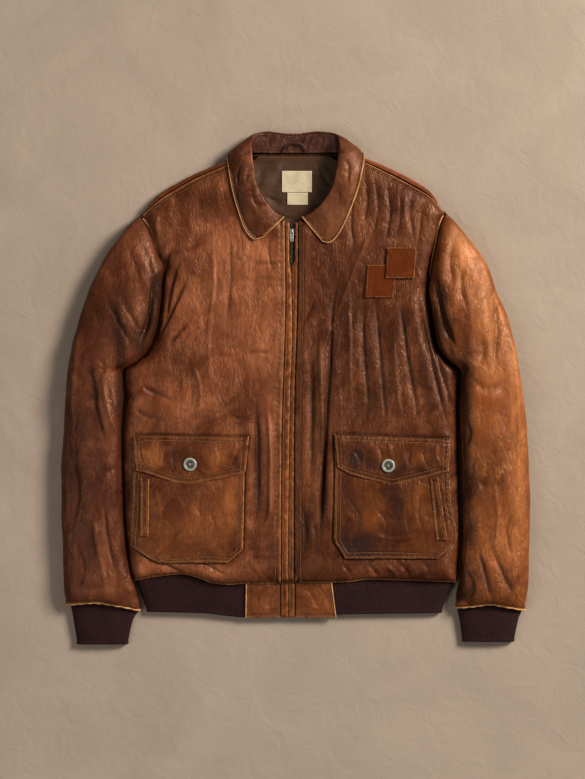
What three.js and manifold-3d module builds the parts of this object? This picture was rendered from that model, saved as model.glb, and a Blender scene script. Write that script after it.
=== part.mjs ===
// Worn leather flight jacket, laid flat on its back with the zip closed. Millimetres.
// +X is the wearer's left, +Y runs from the hem to the collar, +Z is up from the surface.
// "Out" is the distance from the middle of the front: it is +X on the left half, -X on the right.
import * as THREE from "three";
import Module from "manifold-3d";
import { mergeVertices } from "three/addons/utils/BufferGeometryUtils.js";

// Walls of the cloths and the gap that two pieces keep at a seam.
const leatherWall = 1.4;
const ribWall = 2.2;
const liningWall = 1.0;
const labelWall = 0.8;
const seamGap = 0.4;
const armholeGap = 0.9;
const layGap = 1.0; // between a panel and what is sewn on it

// Heights above the surface.
const bodyHeight = 30;
const sideSeamHeight = 8;
const hemHeight = 16.5;
const neckHeight = 24;
const shoulderTipHeight = 14;
const centreHeight = 25.5;
const sleeveFold = 11; // where a sleeve turns from its front to its back
const cuffFold = 6;
const fallLift = 3.9; // the back panel is lifted this far by the collar folded under it

// How far in from each edge the cloth reaches its full height.
const sideRoll = 26;
const hemRoll = 22;
const topRoll = 30;
const centreRoll = 14;
const armholeRoll = 26;
const sideGap = 1.9; // between a sleeve and the body beside it
const cuffRoll = 26;

// How square the rounds are: 2 is a true ellipse, and more is flatter in the middle.
const edgeBlend = 4; // where two of a front's rounded edges meet
const sleeveRound = 2.4;
const cuffRound = 2.6;
const underRound = 5;
const underDip = 1.06; // the underside of a tube is this share of its fold, cut off at the surface

// Mesh steps. The armhole steps are shared by the fronts, the back and the sleeves.
const sideSteps = 9;
const armholeSteps = 8;
const neckShares = [0, 0.15, 0.37, 0.66, 0.87, 1];
const shoulderSteps = 7;
const backNeckSteps = 5;
const wrapSteps = 3;
const sleeveSteps = 14;

// The outlines of each half, as [place, value] pairs. "centre", "side" and the rib give out at y,
// "top" and "hem" give y at out, "armholeHeight" gives z at y, and paths are [out, y] points.
const halves = {
  left: {
    name: "left",
    sign: 1,
    pit: 24,
    neckCorner: 80,
    centre: [[-291, 4], [-78, 4], [-3, 5], [132, 9], [249, 10]],
    side: [
      [-290, 248], [-213, 252], [-33, 249], [24, 251], [45, 229], [68, 215],
      [120, 207], [147, 203], [174, 206], [222, 215], [249, 221], [261, 227],
    ],
    top: [
      [10, 249], [34, 261], [56, 285], [71, 312], [80, 348], [104, 338],
      [139, 322], [176, 303], [206, 285], [227, 261],
    ],
    hem: [[4, -291], [79, -290], [116, -286], [161, -287], [248, -290]],
    shoulderReach: [[80, 4], [110, 6.5], [139, 8], [176, 9], [206, 8], [221, 5], [227, 4]],
    sleeveOuter: [
      [228, 266], [259, 232], [289, 189], [311, 135], [331, 72], [344, 4],
      [352, -63], [356, -168], [356, -228], [353, -303], [349, -334],
    ],
    sleeveInner: [
      [252, 24.3], [251.6, -18], [252.5, -63], [254.5, -128], [254.8, -198],
      [253, -258], [250, -290], [246, -308], [245, -330],
    ],
    cuffSeam: [[349, -334], [319, -328], [296, -324], [274, -327], [245, -330]],
    cuffOuter: [[0, 344], [0.3, 339], [1, 332]],
    cuffInner: [[0, 248], [0.3, 251], [1, 256]],
    cuffEnd: -381,
    ribSide: [[-338, 223], [-318, 230], [-292, 244]],
    tabOuter: [[-345, 66], [-291, 59]],
    tabCentre: 4.8,
    pocket: {
      inner: [[-255, 79], [-228, 62], [-94, 64]],
      outer: [[-255, 217], [-232, 244], [-218, 245], [-168, 236], [-94, 232]],
    },
    flap: {
      corners: { innerTop: [62, -68], outerTop: [235, -75] },
      bottom: [[67, -118], [86, -129], [149, -146], [206, -132], [232, -124]],
    },
    sideWelt: { inner: [[-228, 215], [-135, 205]], outer: [[-222, 230], [-135, 218]] },
    button: [143, -116],
  },
  right: {
    name: "right",
    sign: -1,
    pit: 26,
    neckCorner: 74,
    centre: [[-291, 18], [-78, 17], [-3, 15], [132, 11], [249, 12]],
    side: [
      [-288, 238], [-266, 244], [-236, 248], [-153, 253], [-63, 254], [-18, 250],
      [26, 253], [36, 236], [52, 217], [99, 200], [132, 196], [158, 194],
      [183, 191], [198, 199], [218, 206], [240, 214], [256, 226],
    ],
    top: [
      [12, 249], [34, 262], [52, 282], [64, 308], [74, 346], [97, 333],
      [139, 315], [169, 299], [199, 280], [226, 256],
    ],
    hem: [
      [18, -292], [71, -292], [94, -294], [121, -291], [139, -284],
      [166, -278], [191, -280], [238, -288],
    ],
    shoulderReach: [[74, 4], [105, 6.5], [139, 7], [169, 8], [199, 9], [218, 7], [226, 4]],
    sleeveOuter: [
      [226.6, 261], [259, 230], [289, 184], [311, 132], [328, 72], [340, -3],
      [346, -93], [346, -168], [344, -243], [343, -303], [340, -326],
    ],
    sleeveInner: [
      [254, 26.3], [256, -18], [258, -63], [256, -128], [254.8, -153],
      [251.8, -198], [249.8, -236], [246, -266], [240.5, -288], [234, -308], [228, -334],
    ],
    cuffSeam: [[340, -326], [296, -322], [259, -327], [228, -334]],
    cuffOuter: [[0, 333], [0.3, 329], [1, 323]],
    cuffInner: [[0, 231], [0.3, 240], [1, 248]],
    cuffEnd: -385,
    ribSide: [[-336, 218], [-318, 225], [-292, 236]],
    tabOuter: [[-345, 71], [-291, 70]],
    tabCentre: 18.5,
    pocket: {
      inner: [[-261, 97], [-242, 74], [-94, 71]],
      outer: [[-261, 199], [-256, 211], [-236, 241], [-222, 241], [-183, 239], [-94, 237]],
    },
    flap: {
      corners: { innerTop: [65, -72], outerTop: [237, -69] },
      bottom: [[70, -124], [79, -129], [154, -144], [176, -141], [214, -128], [233, -123]],
    },
    sideWelt: { inner: [[-219, 215], [-135, 214]], outer: [[-222, 227], [-135, 227]] },
    button: [153, -114],
  },
};
const armholeHeight = [[24, 8.2], [60, 8.2], [150, 9], [190, 12], [222, 16], [249, 16], [261, 14]];
const backEdgeHeight = [[24, 7.8], [40, 3], [60, 0]];

// The collar's stations from the front edge to the middle of the back: where it rolls, what the
// fall bends towards, where its outer edge lies, and where its stand is sewn to the neck.
const collarStations = {
  left: [
    { roll: [14, 256, 28], bend: [28, 238, 33], edge: [45, 219, 32.6], neck: [11.5, 251, 25] },
    { roll: [25, 261, 30], bend: [43, 238, 36], edge: [57, 217.5, 33], neck: [19, 254, 25] },
    { roll: [38, 271, 33], bend: [57, 252, 40], edge: [71, 233, 33], neck: [33, 263.5, 24.5] },
    { roll: [50, 285, 36], bend: [69, 272, 42], edge: [83, 258, 33], neck: [51, 282, 24] },
    { roll: [60, 304, 38], bend: [80, 298, 43], edge: [97, 294, 33], neck: [65, 307, 24] },
    { roll: [65, 327, 38], bend: [86, 324, 43], edge: [104, 322, 33], neck: [73.5, 330, 24] },
    { roll: [68, 350, 37], bend: [94, 352, 40], edge: [107, 343, 23], neck: [78, 349.5, 24.5] },
    { roll: [70, 367, 31], bend: [96, 368, 26], edge: [105, 352, 12], neck: [70, 352.5, 17] },
    { roll: [64, 381, 20], bend: [88, 376, 2], edge: [98, 343, 0.7], neck: [56, 353.5, 9.8] },
    { roll: [38, 384, 14], bend: [50, 394, 1.3], edge: [60, 323, 0.7], neck: [34, 353, 8.2] },
  ],
  back: { roll: [-1, 380.5, 12.5], bend: [-1, 391, 1.3], edge: [0, 325, 0.7], neck: [0, 353, 8.2] },
  right: [
    { roll: [12, 256, 28], bend: [26, 242, 33], edge: [44, 226, 32.6], neck: [13, 251, 25] },
    { roll: [24, 262, 30], bend: [44, 244, 36], edge: [58, 222.5, 33], neck: [20, 254.5, 25] },
    { roll: [36, 276, 33], bend: [56, 260, 40], edge: [70, 235, 33], neck: [33, 264, 24.5] },
    { roll: [46, 290, 36], bend: [64, 280, 42], edge: [79, 258, 33], neck: [47, 280, 24] },
    { roll: [53, 306, 38], bend: [73, 300, 43], edge: [88, 288, 33], neck: [59, 302, 24] },
    { roll: [57, 327, 38], bend: [77, 324, 43], edge: [94, 318, 33], neck: [67, 327, 24] },
    { roll: [60, 350, 37], bend: [84, 354, 40], edge: [97, 340, 23], neck: [72, 347.5, 24.5] },
    { roll: [61, 367, 31], bend: [86, 367, 26], edge: [97, 350.5, 12], neck: [64, 351.5, 17] },
    { roll: [55, 381, 20], bend: [77, 376, 2], edge: [90, 342, 0.7], neck: [50, 353, 9.8] },
    { roll: [36, 384, 14], bend: [48, 394, 1.3], edge: [55, 323, 0.7], neck: [32, 353, 8.2] },
  ],
};
const collarSteps = 2; // cells between two stations
const fallSteps = 4;

// The closed zip: its line, and how far each welt's fold stays from it.
const zipLine = [[-345, -6.5], [-290, -6.5], [-78, -4.5], [-3, -3], [87, 0], [189, -1.5], [249, -1]];
const zipTop = 248;
const zipBottom = -344;
const weltSteps = 12;
const leftWeltFold = [[183, 0.5], [191, 5.2]];
const rightWeltFold = [[168, 0.5], [191, 3.4]];
const chainDrop = 4.2; // the chain lies this far below the welts' crowns
const slider = { y: 234, length: 9, width: 6.4, plate: 1.8, crownWidth: 1.6, crownLength: 6.2 };
const pull = { width: 5.4, length: 15, thick: 1.2, bar: 1.4, eyeLength: 3.4, eyeWidth: 2.8, chamfer: 1.4 };

const neckPieces = {
  lining: {
    right: [[236, -68], [330, -72], [348, -50]],
    left: [[236, 76], [330, 82], [348, 56]],
    bottom: 236,
    top: 348,
  },
  mainLabel: { right: [[294, -16], [326, -16]], left: [[294, 29], [326, 29]], bottom: 294, top: 326 },
  sizeTab: { right: [[275, -8], [293.4, -8]], left: [[275, 23], [293.4, 23]], bottom: 275, top: 293.4 },
  hangerLoop: [[-13, 355.5], [-10, 362], [-2, 367], [11, 367], [18, 361], [21, 354.5]],
};
const liningForm = {
  height: 8.8, middle: 5, halfWidth: 80, sideRise: 7, topRise: 2, topFrom: 335, topReach: 14,
};
const loopForm = { width: 3.4, thick: 1.6, foot: 11, rise: 0.2, from: 353 };
const patches = {
  upper: { inner: [[164, 139], [210, 142]], outer: [[164, 182], [210, 185]], bottom: 164, top: 210 },
  lower: { inner: [[135.5, 109], [184, 112]], outer: [[135.5, 151], [184, 155]], bottom: 135.5, top: 184 },
};
const patchWall = 1.0;
const buttonSize = { radius: 10, thick: 3, holeRadius: 1, holeSpread: 2.4 };

const leather = new THREE.MeshStandardMaterial({ color: 0x7a3f1e, roughness: 0.45 });
const darkLeather = new THREE.MeshStandardMaterial({ color: 0x4a2a22, roughness: 0.5 });
const patchLeather = new THREE.MeshStandardMaterial({ color: 0x74300f, roughness: 0.7 });
const rib = new THREE.MeshStandardMaterial({ color: 0x2e1618, roughness: 0.95 });
const lining = new THREE.MeshStandardMaterial({ color: 0x554026, roughness: 0.5 });
const label = new THREE.MeshStandardMaterial({ color: 0xd6c8a2, roughness: 0.9 });
const metal = new THREE.MeshStandardMaterial({ color: 0xb8b4a8, roughness: 0.3, metalness: 1 });
const tape = new THREE.MeshStandardMaterial({ color: 0x2a1a14, roughness: 0.8 });
const horn = new THREE.MeshStandardMaterial({ color: 0x6a6a58, roughness: 0.35 });

const jacket = new THREE.Group();

// ---- Curves ----------------------------------------------------------------------------------

// Shares from 0 to 1, drawn together at both ends by "bunching".
function shares(count, bunching = 0) {
  const ease = (t) => t - (bunching * Math.sin(2 * Math.PI * t)) / (2 * Math.PI);
  return Array.from({ length: count + 1 }, (_, i) => ease(i / count));
}

const mix = (a, b, t) => a + (b - a) * t;
const clamp01 = (t) => Math.min(1, Math.max(0, t));
const smooth = (t) => clamp01(t) ** 2 * (3 - 2 * clamp01(t));

// A cubic curve through values at rising places. "Limited" slopes keep it from overshooting.
function cubic(places, values, limited) {
  const last = places.length - 1;
  const rise = (i) => (values[i + 1] - values[i]) / (places[i + 1] - places[i]);
  const slopes = places.map((_, i) => {
    if (i === 0) return rise(0);
    if (i === last) return rise(last - 1);
    const [before, after] = [rise(i - 1), rise(i)];
    if (!limited) return (values[i + 1] - values[i - 1]) / (places[i + 1] - places[i - 1]);
    return before * after > 0 ? (2 * before * after) / (before + after) : 0;
  });
  return (place) => {
    const at = Math.min(places[last], Math.max(places[0], place));
    let i = 0;
    while (i < last - 1 && at > places[i + 1]) i += 1;
    const span = places[i + 1] - places[i];
    const t = (at - places[i]) / span;
    const enter = (1 - t) ** 2;
    return (
      values[i] * (1 + 2 * t) * enter + slopes[i] * span * t * enter +
      values[i + 1] * t * t * (3 - 2 * t) + slopes[i + 1] * span * t * t * (t - 1)
    );
  };
}

const graph = (pairs) => cubic(pairs.map((p) => p[0]), pairs.map((p) => p[1]), true);

// Straight lines between [place, value] pairs.
function polyline(pairs) {
  return (place) => {
    const at = Math.min(pairs.at(-1)[0], Math.max(pairs[0][0], place));
    const i = Math.max(0, pairs.findIndex((p) => p[0] >= at) - 1);
    const [[a, from], [b, to]] = [pairs[i], pairs[i + 1]];
    return mix(from, to, (at - a) / (b - a));
  };
}

// A smooth path through points, read at a share of its length.
function path(points) {
  const lengths = [0];
  for (let i = 1; i < points.length; i += 1) {
    lengths.push(lengths[i - 1] + Math.hypot(...points[i].map((v, k) => v - points[i - 1][k])));
  }
  const axes = points[0].map((_, k) => cubic(lengths, points.map((p) => p[k]), false));
  return (share) => axes.map((axis) => axis(share * lengths.at(-1)));
}

// From 0 at an edge to 1 at a distance of "radius", like the quarter of a round.
function roll(distance, radius) {
  const s = clamp01(distance / radius);
  return Math.sqrt(1 - (1 - s) ** 2);
}

// ---- Walls -----------------------------------------------------------------------------------

const minus = (a, b) => a.map((v, k) => v - b[k]);
const cross = (a, b) => [
  a[1] * b[2] - a[2] * b[1],
  a[2] * b[0] - a[0] * b[2],
  a[0] * b[1] - a[1] * b[0],
];
const unit = (a) => a.map((v) => v / Math.hypot(...a));

// The unit normals of a grid of points; a tube's rows close on themselves.
function gridNormals(grid, tube) {
  const rows = grid.length;
  const columns = grid[0].length;
  const column = (j) => (tube ? (j + columns) % columns : Math.min(columns - 1, Math.max(0, j)));
  const row = (i) => Math.min(rows - 1, Math.max(0, i));
  return grid.map((line, i) => line.map((_, j) => {
    const across = minus(grid[i][column(j + 1)], grid[i][column(j - 1)]);
    const along = minus(grid[row(i + 1)][j], grid[row(i - 1)][j]);
    return unit(cross(across, along));
  }));
}

// Which way the normals must turn to point out: along "facing", or away from a tube's middle.
function outwardSign(grid, normals, facing) {
  let sum = 0;
  grid.forEach((line, i) => {
    const middle = [0, 1, 2].map((k) => line.reduce((s, p) => s + p[k], 0) / line.length);
    line.forEach((point, j) => {
      const out = facing ?? minus(point, middle);
      sum += normals[i][j].reduce((s, v, k) => s + v * out[k], 0);
    });
  });
  return Math.sign(sum);
}

// A closed mesh from points and triangles, turned so that its faces point out.
function closedGeometry(points, triangles) {
  const volume = triangles.reduce((sum, [a, b, c]) => {
    const turn = cross(points[b], points[c]);
    return sum + points[a].reduce((s, v, k) => s + v * turn[k], 0);
  }, 0);
  const index = triangles.flatMap(([a, b, c]) => (volume > 0 ? [a, b, c] : [a, c, b]));
  const geometry = new THREE.BufferGeometry();
  geometry.setAttribute("position", new THREE.Float32BufferAttribute(points.flat(), 3));
  geometry.setIndex(index);
  geometry.computeVertexNormals();
  return geometry;
}

// A wall of even thickness behind a grid of outer points. "facing" is a rough direction of the
// outer face, and is left out for a tube. "turn" may turn a rim's normal, given its row and column
// in the grid, so that two pieces can meet there face to face.
function wall(grid, thickness, facing, turn = (normal) => normal) {
  const tube = facing === undefined;
  const normals = gridNormals(grid, tube);
  const sign = outwardSign(grid, normals, facing);
  const inner = grid.map((line, i) => line.map((point, j) => {
    const depth = turn(normals[i][j].map((v) => v * sign), i, j);
    return point.map((v, k) => v - depth[k] * thickness);
  }));
  const rows = grid.length;
  const columns = grid[0].length;
  const cells = tube ? columns : columns - 1;
  const outerId = (i, j) => i * columns + (j % columns);
  const innerId = (i, j) => rows * columns + outerId(i, j);
  const triangles = [];
  const quad = (a, b, c, d) => triangles.push([a, b, c], [a, c, d]);
  const length = (a, b) => Math.hypot(...minus(a, b));
  for (let i = 0; i < rows - 1; i += 1) {
    for (let j = 0; j < cells; j += 1) {
      const corners = [[i, j], [i, j + 1], [i + 1, j + 1], [i + 1, j]];
      const [a, b, c, d] = corners.map(([r, k]) => grid[r][k % columns]);
      if (length(a, c) > length(b, d)) corners.push(corners.shift()); // split along the shorter way
      const [p, q, r, s] = corners;
      quad(outerId(...p), outerId(...q), outerId(...r), outerId(...s));
      quad(innerId(...p), innerId(...s), innerId(...r), innerId(...q));
    }
  }
  for (let j = 0; j < cells; j += 1) {
    quad(outerId(0, j), innerId(0, j), innerId(0, j + 1), outerId(0, j + 1));
    quad(outerId(rows - 1, j), outerId(rows - 1, j + 1), innerId(rows - 1, j + 1), innerId(rows - 1, j));
  }
  if (!tube) {
    for (let i = 0; i < rows - 1; i += 1) {
      quad(outerId(i, 0), outerId(i + 1, 0), innerId(i + 1, 0), innerId(i, 0));
      quad(outerId(i, cells), innerId(i, cells), innerId(i + 1, cells), outerId(i + 1, cells));
    }
  }
  return closedGeometry([...grid.flat(), ...inner.flat()], triangles);
}

// Turns for wall(): the last row's rim upright, and side columns' rims level.
function panelRims(lastRow, sideColumns) {
  return (normal, i, j) => {
    if (i === lastRow) return [0, 0, Math.sign(normal[2])];
    const steep = Math.abs(normal[2]) < 0.8;
    return sideColumns.includes(j) && steep ? unit([normal[0], normal[1], 0]) : normal;
  };
}

function add(name, geometry, material) {
  const mesh = new THREE.Mesh(geometry, material);
  mesh.name = name;
  jacket.add(mesh);
  return mesh;
}

// ---- The fronts' form ------------------------------------------------------------------------

for (const half of Object.values(halves)) {
  half.centreAt = graph(half.centre);
  half.sideAt = graph(half.side);
  half.topAt = graph(half.top);
  half.hemAt = graph(half.hem);
  half.reachAt = graph(half.shoulderReach);
  half.tipOut = half.side.at(-1)[1];
  half.tipY = half.side.at(-1)[0];
  half.sideBottom = half.side[0][0];
  const armhole = shares(armholeSteps, 0.5).map((t) => mix(half.pit, half.tipY, t));
  const below = shares(sideSteps, 0.5).map((t) => mix(half.sideBottom, half.pit, t));
  half.armholeLevels = armhole;
  half.levels = [...below, ...armhole.slice(1)].map(
    (y) => (y - half.sideBottom) / (half.tipY - half.sideBottom),
  );
  half.armholeZ = cubic(
    armholeHeight.map(([y]) => mix(half.pit, half.tipY, (y - 24) / (261 - 24))),
    armholeHeight.map(([, z]) => z),
    true,
  );
  half.backEdgeZ = cubic(
    backEdgeHeight.map(([y]) => y - 24 + half.pit),
    backEdgeHeight.map(([, z]) => z),
    true,
  );
}

const seamHeight = (half, out) =>
  mix(neckHeight, shoulderTipHeight, clamp01((out - half.neckCorner) / (half.tipOut - half.neckCorner)));

// The height of a front's outer face: full in the middle, falling in a round to each edge.
function frontHeight(half, out, y) {
  const sideHeight = y <= half.pit ? sideSeamHeight + seamGap / 2 : half.armholeZ(y);
  const edges = [
    [half.sideAt(y) - out, sideRoll, sideHeight],
    [half.topAt(out) - y, topRoll, seamHeight(half, out)],
    [y - half.hemAt(out), hemRoll, hemHeight],
    [out - half.centreAt(y), centreRoll, centreHeight],
  ];
  const drop = edges.reduce((sum, [distance, radius, height]) => {
    const short = (1 - height / bodyHeight) * (1 - roll(distance, radius));
    return sum + short ** edgeBlend;
  }, 0);
  return bodyHeight * (1 - drop ** (1 / edgeBlend));
}

// A point of a front, moved out by "lift" along the front's own normal.
function onFront(half, out, y, lift = 0) {
  const step = 1.5;
  const z = frontHeight(half, out, y);
  const slopeOut = (frontHeight(half, out + step, y) - frontHeight(half, out - step, y)) / (2 * step);
  const slopeY = (frontHeight(half, out, y + step) - frontHeight(half, out, y - step)) / (2 * step);
  const [nOut, nY, nZ] = unit([-slopeOut, -slopeY, 1]);
  return [half.sign * (out + nOut * lift), y + nY * lift, z + nZ * lift];
}

// The columns of a front, as shares of its width: the neck's, then the shoulder's.
function frontColumns(half) {
  const inner = half.centreAt(zipTop);
  const corner = (half.neckCorner - inner) / (half.tipOut - inner);
  const neck = neckShares.map((t) => corner * t);
  const shoulder = shares(shoulderSteps).map((t) => mix(corner, 1, 1 - (1 - t) ** 1.5));
  return [...neck, ...shoulder.slice(1)];
}

function frontPoint(half, u, v) {
  const innerBottom = half.centre[0][0];
  const innerTop = half.centre.at(-1)[0];
  const innerY = mix(innerBottom, innerTop, v);
  const sideY = mix(half.sideBottom, half.tipY, v);
  const out = mix(half.centreAt(innerY), half.sideAt(sideY), u);
  const bottomOut = mix(half.centreAt(innerBottom), half.sideAt(half.sideBottom), u);
  const topOut = mix(half.centreAt(innerTop), half.tipOut, u);
  const bottomBow = half.hemAt(bottomOut) - mix(innerBottom, half.sideBottom, u);
  const topBow = half.topAt(topOut) - mix(innerTop, half.tipY, u);
  return [out, mix(innerY, sideY, u) + (1 - v) * bottomBow + v * topBow];
}

function buildFront(half) {
  const columns = frontColumns(half);
  const grid = half.levels.map((v) => columns.map((u) => {
    const [out, y] = frontPoint(half, u, v);
    return [half.sign * out, y - v * seamGap / 2, frontHeight(half, out, y)];
  }));
  const rims = panelRims(grid.length - 1, [columns.length - 1]);
  add(`${half.name}_front`, wall(grid, leatherWall, [0, 0, 1], rims), leather);
}

// ---- The back, wrapped over the shoulders ----------------------------------------------------

const middleOf = (x) => (x >= 0 ? halves.left : halves.right);

// How far the collar that is folded under the neck lifts the back.
function liftAt(x, y) {
  return fallLift * smooth((y - 300) / 22) * smooth((136 - Math.abs(x)) / 22);
}

// The back's columns from the right side to the left, each with its place at the top seam.
function backColumns() {
  const shoulder = (half) => frontColumns(half).slice(neckShares.length - 1).map((u) => ({
    half,
    seamOut: mix(half.centreAt(half.centre.at(-1)[0]), half.tipOut, u),
  }));
  const right = shoulder(halves.right).reverse();
  const left = shoulder(halves.left);
  const neck = shares(backNeckSteps).slice(1, -1).map((t) => {
    const x = mix(-halves.right.neckCorner, halves.left.neckCorner, t);
    return { half: middleOf(x), seamOut: Math.abs(x), neck: true };
  });
  return [...right, ...neck, ...left];
}

const neckFold = 344; // where the back turns up to the neck seam
const neckReach = 10;
const neckRise = 12;
const neckTurn = 0.25; // the share of the half turn that the back makes at the neck

// The height of the back's side edge: just under the front's down to the hem, flat at the armhole.
function backEdge(half, y) {
  return y <= half.pit ? frontHeight(half, half.sideAt(y), y) - seamGap : half.backEdgeZ(y);
}

function backPoint(column, v) {
  const { half, seamOut, neck } = column;
  const seamY = neck ? neckFold : half.topAt(seamOut);
  const width = (seamOut - half.neckCorner) / (half.tipOut - half.neckCorner);
  const sideY = mix(half.sideBottom, half.tipY, v);
  const out = neck ? seamOut : mix(half.neckCorner, half.sideAt(sideY), width);
  const y = mix(half.hemAt(out), seamY, v);
  const edge = backEdge(half, sideY);
  const curl = neck ? 0 : edge * (1 - roll(half.sideAt(sideY) - out, 9));
  return [half.sign * out, y, curl + liftAt(out, y)];
}

function wrapPoint(column, t) {
  const { half, seamOut, neck } = column;
  const lift = liftAt(seamOut, neckFold);
  const turn = neck ? neckTurn : 1;
  const foldY = neck ? neckFold : half.topAt(seamOut);
  const reach = neck ? neckReach : half.reachAt(seamOut);
  const top = frontHeight(half, seamOut, half.topAt(seamOut));
  const rise = neck ? neckRise : (top - lift) / 2;
  const angle = Math.PI * (turn * t - 0.5);
  const gap = neck ? 0 : (seamGap / 2) * t;
  return [
    half.sign * seamOut,
    foldY + reach * Math.cos(angle) + gap,
    lift + rise * (1 + Math.sin(angle)),
  ];
}

function buildBack() {
  const columns = backColumns();
  const flat = halves.left.levels.map((_, i) => columns.map((column) => backPoint(column, column.half.levels[i])));
  const wrap = shares(wrapSteps).slice(1).map((t) => columns.map((column) => wrapPoint(column, t)));
  const grid = [...flat, ...wrap];
  const rims = panelRims(grid.length - 1, [0, columns.length - 1]);
  const turn = (normal, i, j) => (columns[j].neck ? normal : rims(normal, i, j));
  add("back_panel", wall(grid, leatherWall, [0, 0, -1], turn), leather);
}

// ---- Sleeves and cuffs -----------------------------------------------------------------------

const dome = (share, power) => (1 - Math.abs(2 * share - 1) ** power) ** (1 / power);
const underside = (fold, share) => Math.max(0, fold * (1 - underDip * dome(share, underRound)));
const sleeveHeight = graph([[0, 42], [0.2, 45], [0.5, 42], [0.8, 38], [1, 36]]);
const sleeveEndHeight = 22;
const cuffTopHeight = 17;
const cuffEndHeight = 13;
const pitSpread = 60; // how quickly the sleeve leaves the body's side below the pit

// Shares across a sleeve's front, from its outer fold to its inner fold.
const sleeveColumns = shares(armholeSteps + 1, 0.6);

// The armhole's points, from the shoulder's fold to the pit, for the sleeve's front or back.
function armholePoint(half, index, isBack) {
  if (index === 0) {
    const top = frontHeight(half, half.tipOut, half.tipY);
    return [half.tipOut + armholeGap, half.tipY + half.reachAt(half.tipOut) + armholeGap, top / 2];
  }
  if (index === sleeveColumns.length - 1) {
    return [...half.sleeveInner[0], sideSeamHeight];
  }
  const y = half.armholeLevels[armholeSteps + 1 - index];
  const z = isBack ? half.backEdgeZ(y) : frontHeight(half, half.sideAt(y), y);
  const [awayOut, awayY] = awayFromArmhole(half, y);
  return [half.sideAt(y) + awayOut * armholeGap, y + awayY * armholeGap, z];
}

// The level direction from the body into the sleeve, square to the armhole.
function awayFromArmhole(half, y) {
  const step = 4;
  const slope = (half.sideAt(y + step) - half.sideAt(y - step)) / (2 * step);
  return unit([1, -slope]);
}

const squareToCuff = (normal) => unit([normal[0], 0, normal[2]]);

// The sleeve's rim at the armhole turns its wall away from the body.
function sleeveRims(half) {
  const fold = sleeveColumns.length - 1;
  return (normal, i, j) => {
    if (i === sleeveSteps) return squareToCuff(normal);
    if (i > 0) return normal;
    if (j === 0) return unit([-half.sign, 1, 0]);
    if (j === fold) return unit([-half.sign, -0.3, 0]);
    const isBack = j > fold;
    const index = isBack ? 2 * fold - j : j;
    const [awayOut, awayY] = awayFromArmhole(half, half.armholeLevels[armholeSteps + 1 - index]);
    const rise = isBack ? -1.2 : 0.4;
    return unit([-half.sign * awayOut, -awayY, rise]);
  };
}

function sleevePoint(half, index, v, isBack) {
  const u = sleeveColumns[index];
  const seam = armholePoint(half, index, isBack);
  const [outer, inner, cuff] = [half.outerPath(v), half.innerPath(v), half.cuffPath(u)];
  const [top, pit] = [armholePoint(half, 0), armholePoint(half, sleeveColumns.length - 1)];
  const [cuffOuter, cuffInner] = [half.cuffPath(0), half.cuffPath(1)];
  const place = [0, 1].map((k) =>
    mix(seam[k], cuff[k], v) + mix(outer[k], inner[k], u) -
    mix(mix(top[k], pit[k], u), mix(cuffOuter[k], cuffInner[k], u), v));
  // Round the pit the sleeve lies beside the body, so no column may cross the body's side.
  if (index > 0 && index < sleeveColumns.length - 1 && v > 0 && place[1] > half.sideBottom + 10) {
    const clear = half.sideAt(place[1]) + sideGap + pitSpread * (1 - u) * smooth(v / 0.1);
    place[0] = Math.max(place[0], clear);
  }
  const fromArmhole = roll(Math.hypot(place[0] - seam[0], place[1] - seam[1]), armholeRoll);
  const fromCuff = roll(Math.hypot(place[0] - cuff[0], place[1] - cuff[1]), cuffRoll);
  const fold = mix(seam[2], mix(cuffFold + 2, sleeveFold, fromCuff), fromArmhole);
  if (index === 0 || index === sleeveColumns.length - 1) return [half.sign * place[0], place[1], fold];
  const full = mix(sleeveEndHeight, sleeveHeight(v), fromCuff);
  const front = mix(seam[2], fold + (full - fold) * dome(u, sleeveRound), fromArmhole);
  const back = mix(seam[2], underside(fold, u), fromArmhole);
  return [half.sign * place[0], place[1], isBack ? back : front];
}

function buildSleeve(half) {
  half.outerPath = path(half.sleeveOuter);
  half.innerPath = path(half.sleeveInner);
  half.cuffPath = path(half.cuffSeam);
  const last = sleeveColumns.length - 1;
  const grid = shares(sleeveSteps, 0.5).map((v) => [
    ...sleeveColumns.map((_, i) => sleevePoint(half, i, v, false)),
    ...sleeveColumns.slice(1, -1).map((_, i) => sleevePoint(half, last - 1 - i, v, true)),
  ]);
  add(`${half.name}_sleeve`, wall(grid, leatherWall, undefined, sleeveRims(half)), leather);
}

function buildCuff(half) {
  const outerAt = graph(half.cuffOuter);
  const innerAt = graph(half.cuffInner);
  const last = sleeveColumns.length - 1;
  const seamAt = polyline(sleeveColumns.map((u) => half.cuffPath(u)).reverse());
  const ring = (v) => {
    const place = (u) => {
      const out = mix(outerAt(v), innerAt(v), u);
      return [half.sign * out, mix(seamAt(out) - layGap, half.cuffEnd, v)];
    };
    const height = mix(cuffTopHeight, cuffEndHeight, v);
    const front = sleeveColumns.map((u) => [...place(u), cuffFold + (height - cuffFold) * dome(u, cuffRound)]);
    const back = sleeveColumns.slice(1, -1).map((_, i) => {
      const u = sleeveColumns[last - 1 - i];
      return [...place(u), underside(cuffFold, u)];
    });
    return [...front, ...back];
  };
  const topRim = (normal, i) => (i === 0 ? squareToCuff(normal) : normal);
  add(`${half.name}_cuff`, wall([0, 0.3, 0.65, 1].map(ring), ribWall, undefined, topRim), rib);
}

// ---- Hem -------------------------------------------------------------------------------------

const ribGap = 1.6;
const ribFold = 6.5;
const ribHeight = 14.2;
const ribEndHeight = 11;
const ribFrontSteps = 7;
const ribBackSteps = 12;
const ribRows = [0, 0.5, 1];
const ribEnd = graph([[-218, -336], [-139, -338], [-71, -344], [67, -340], [223, -338]]);

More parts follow.
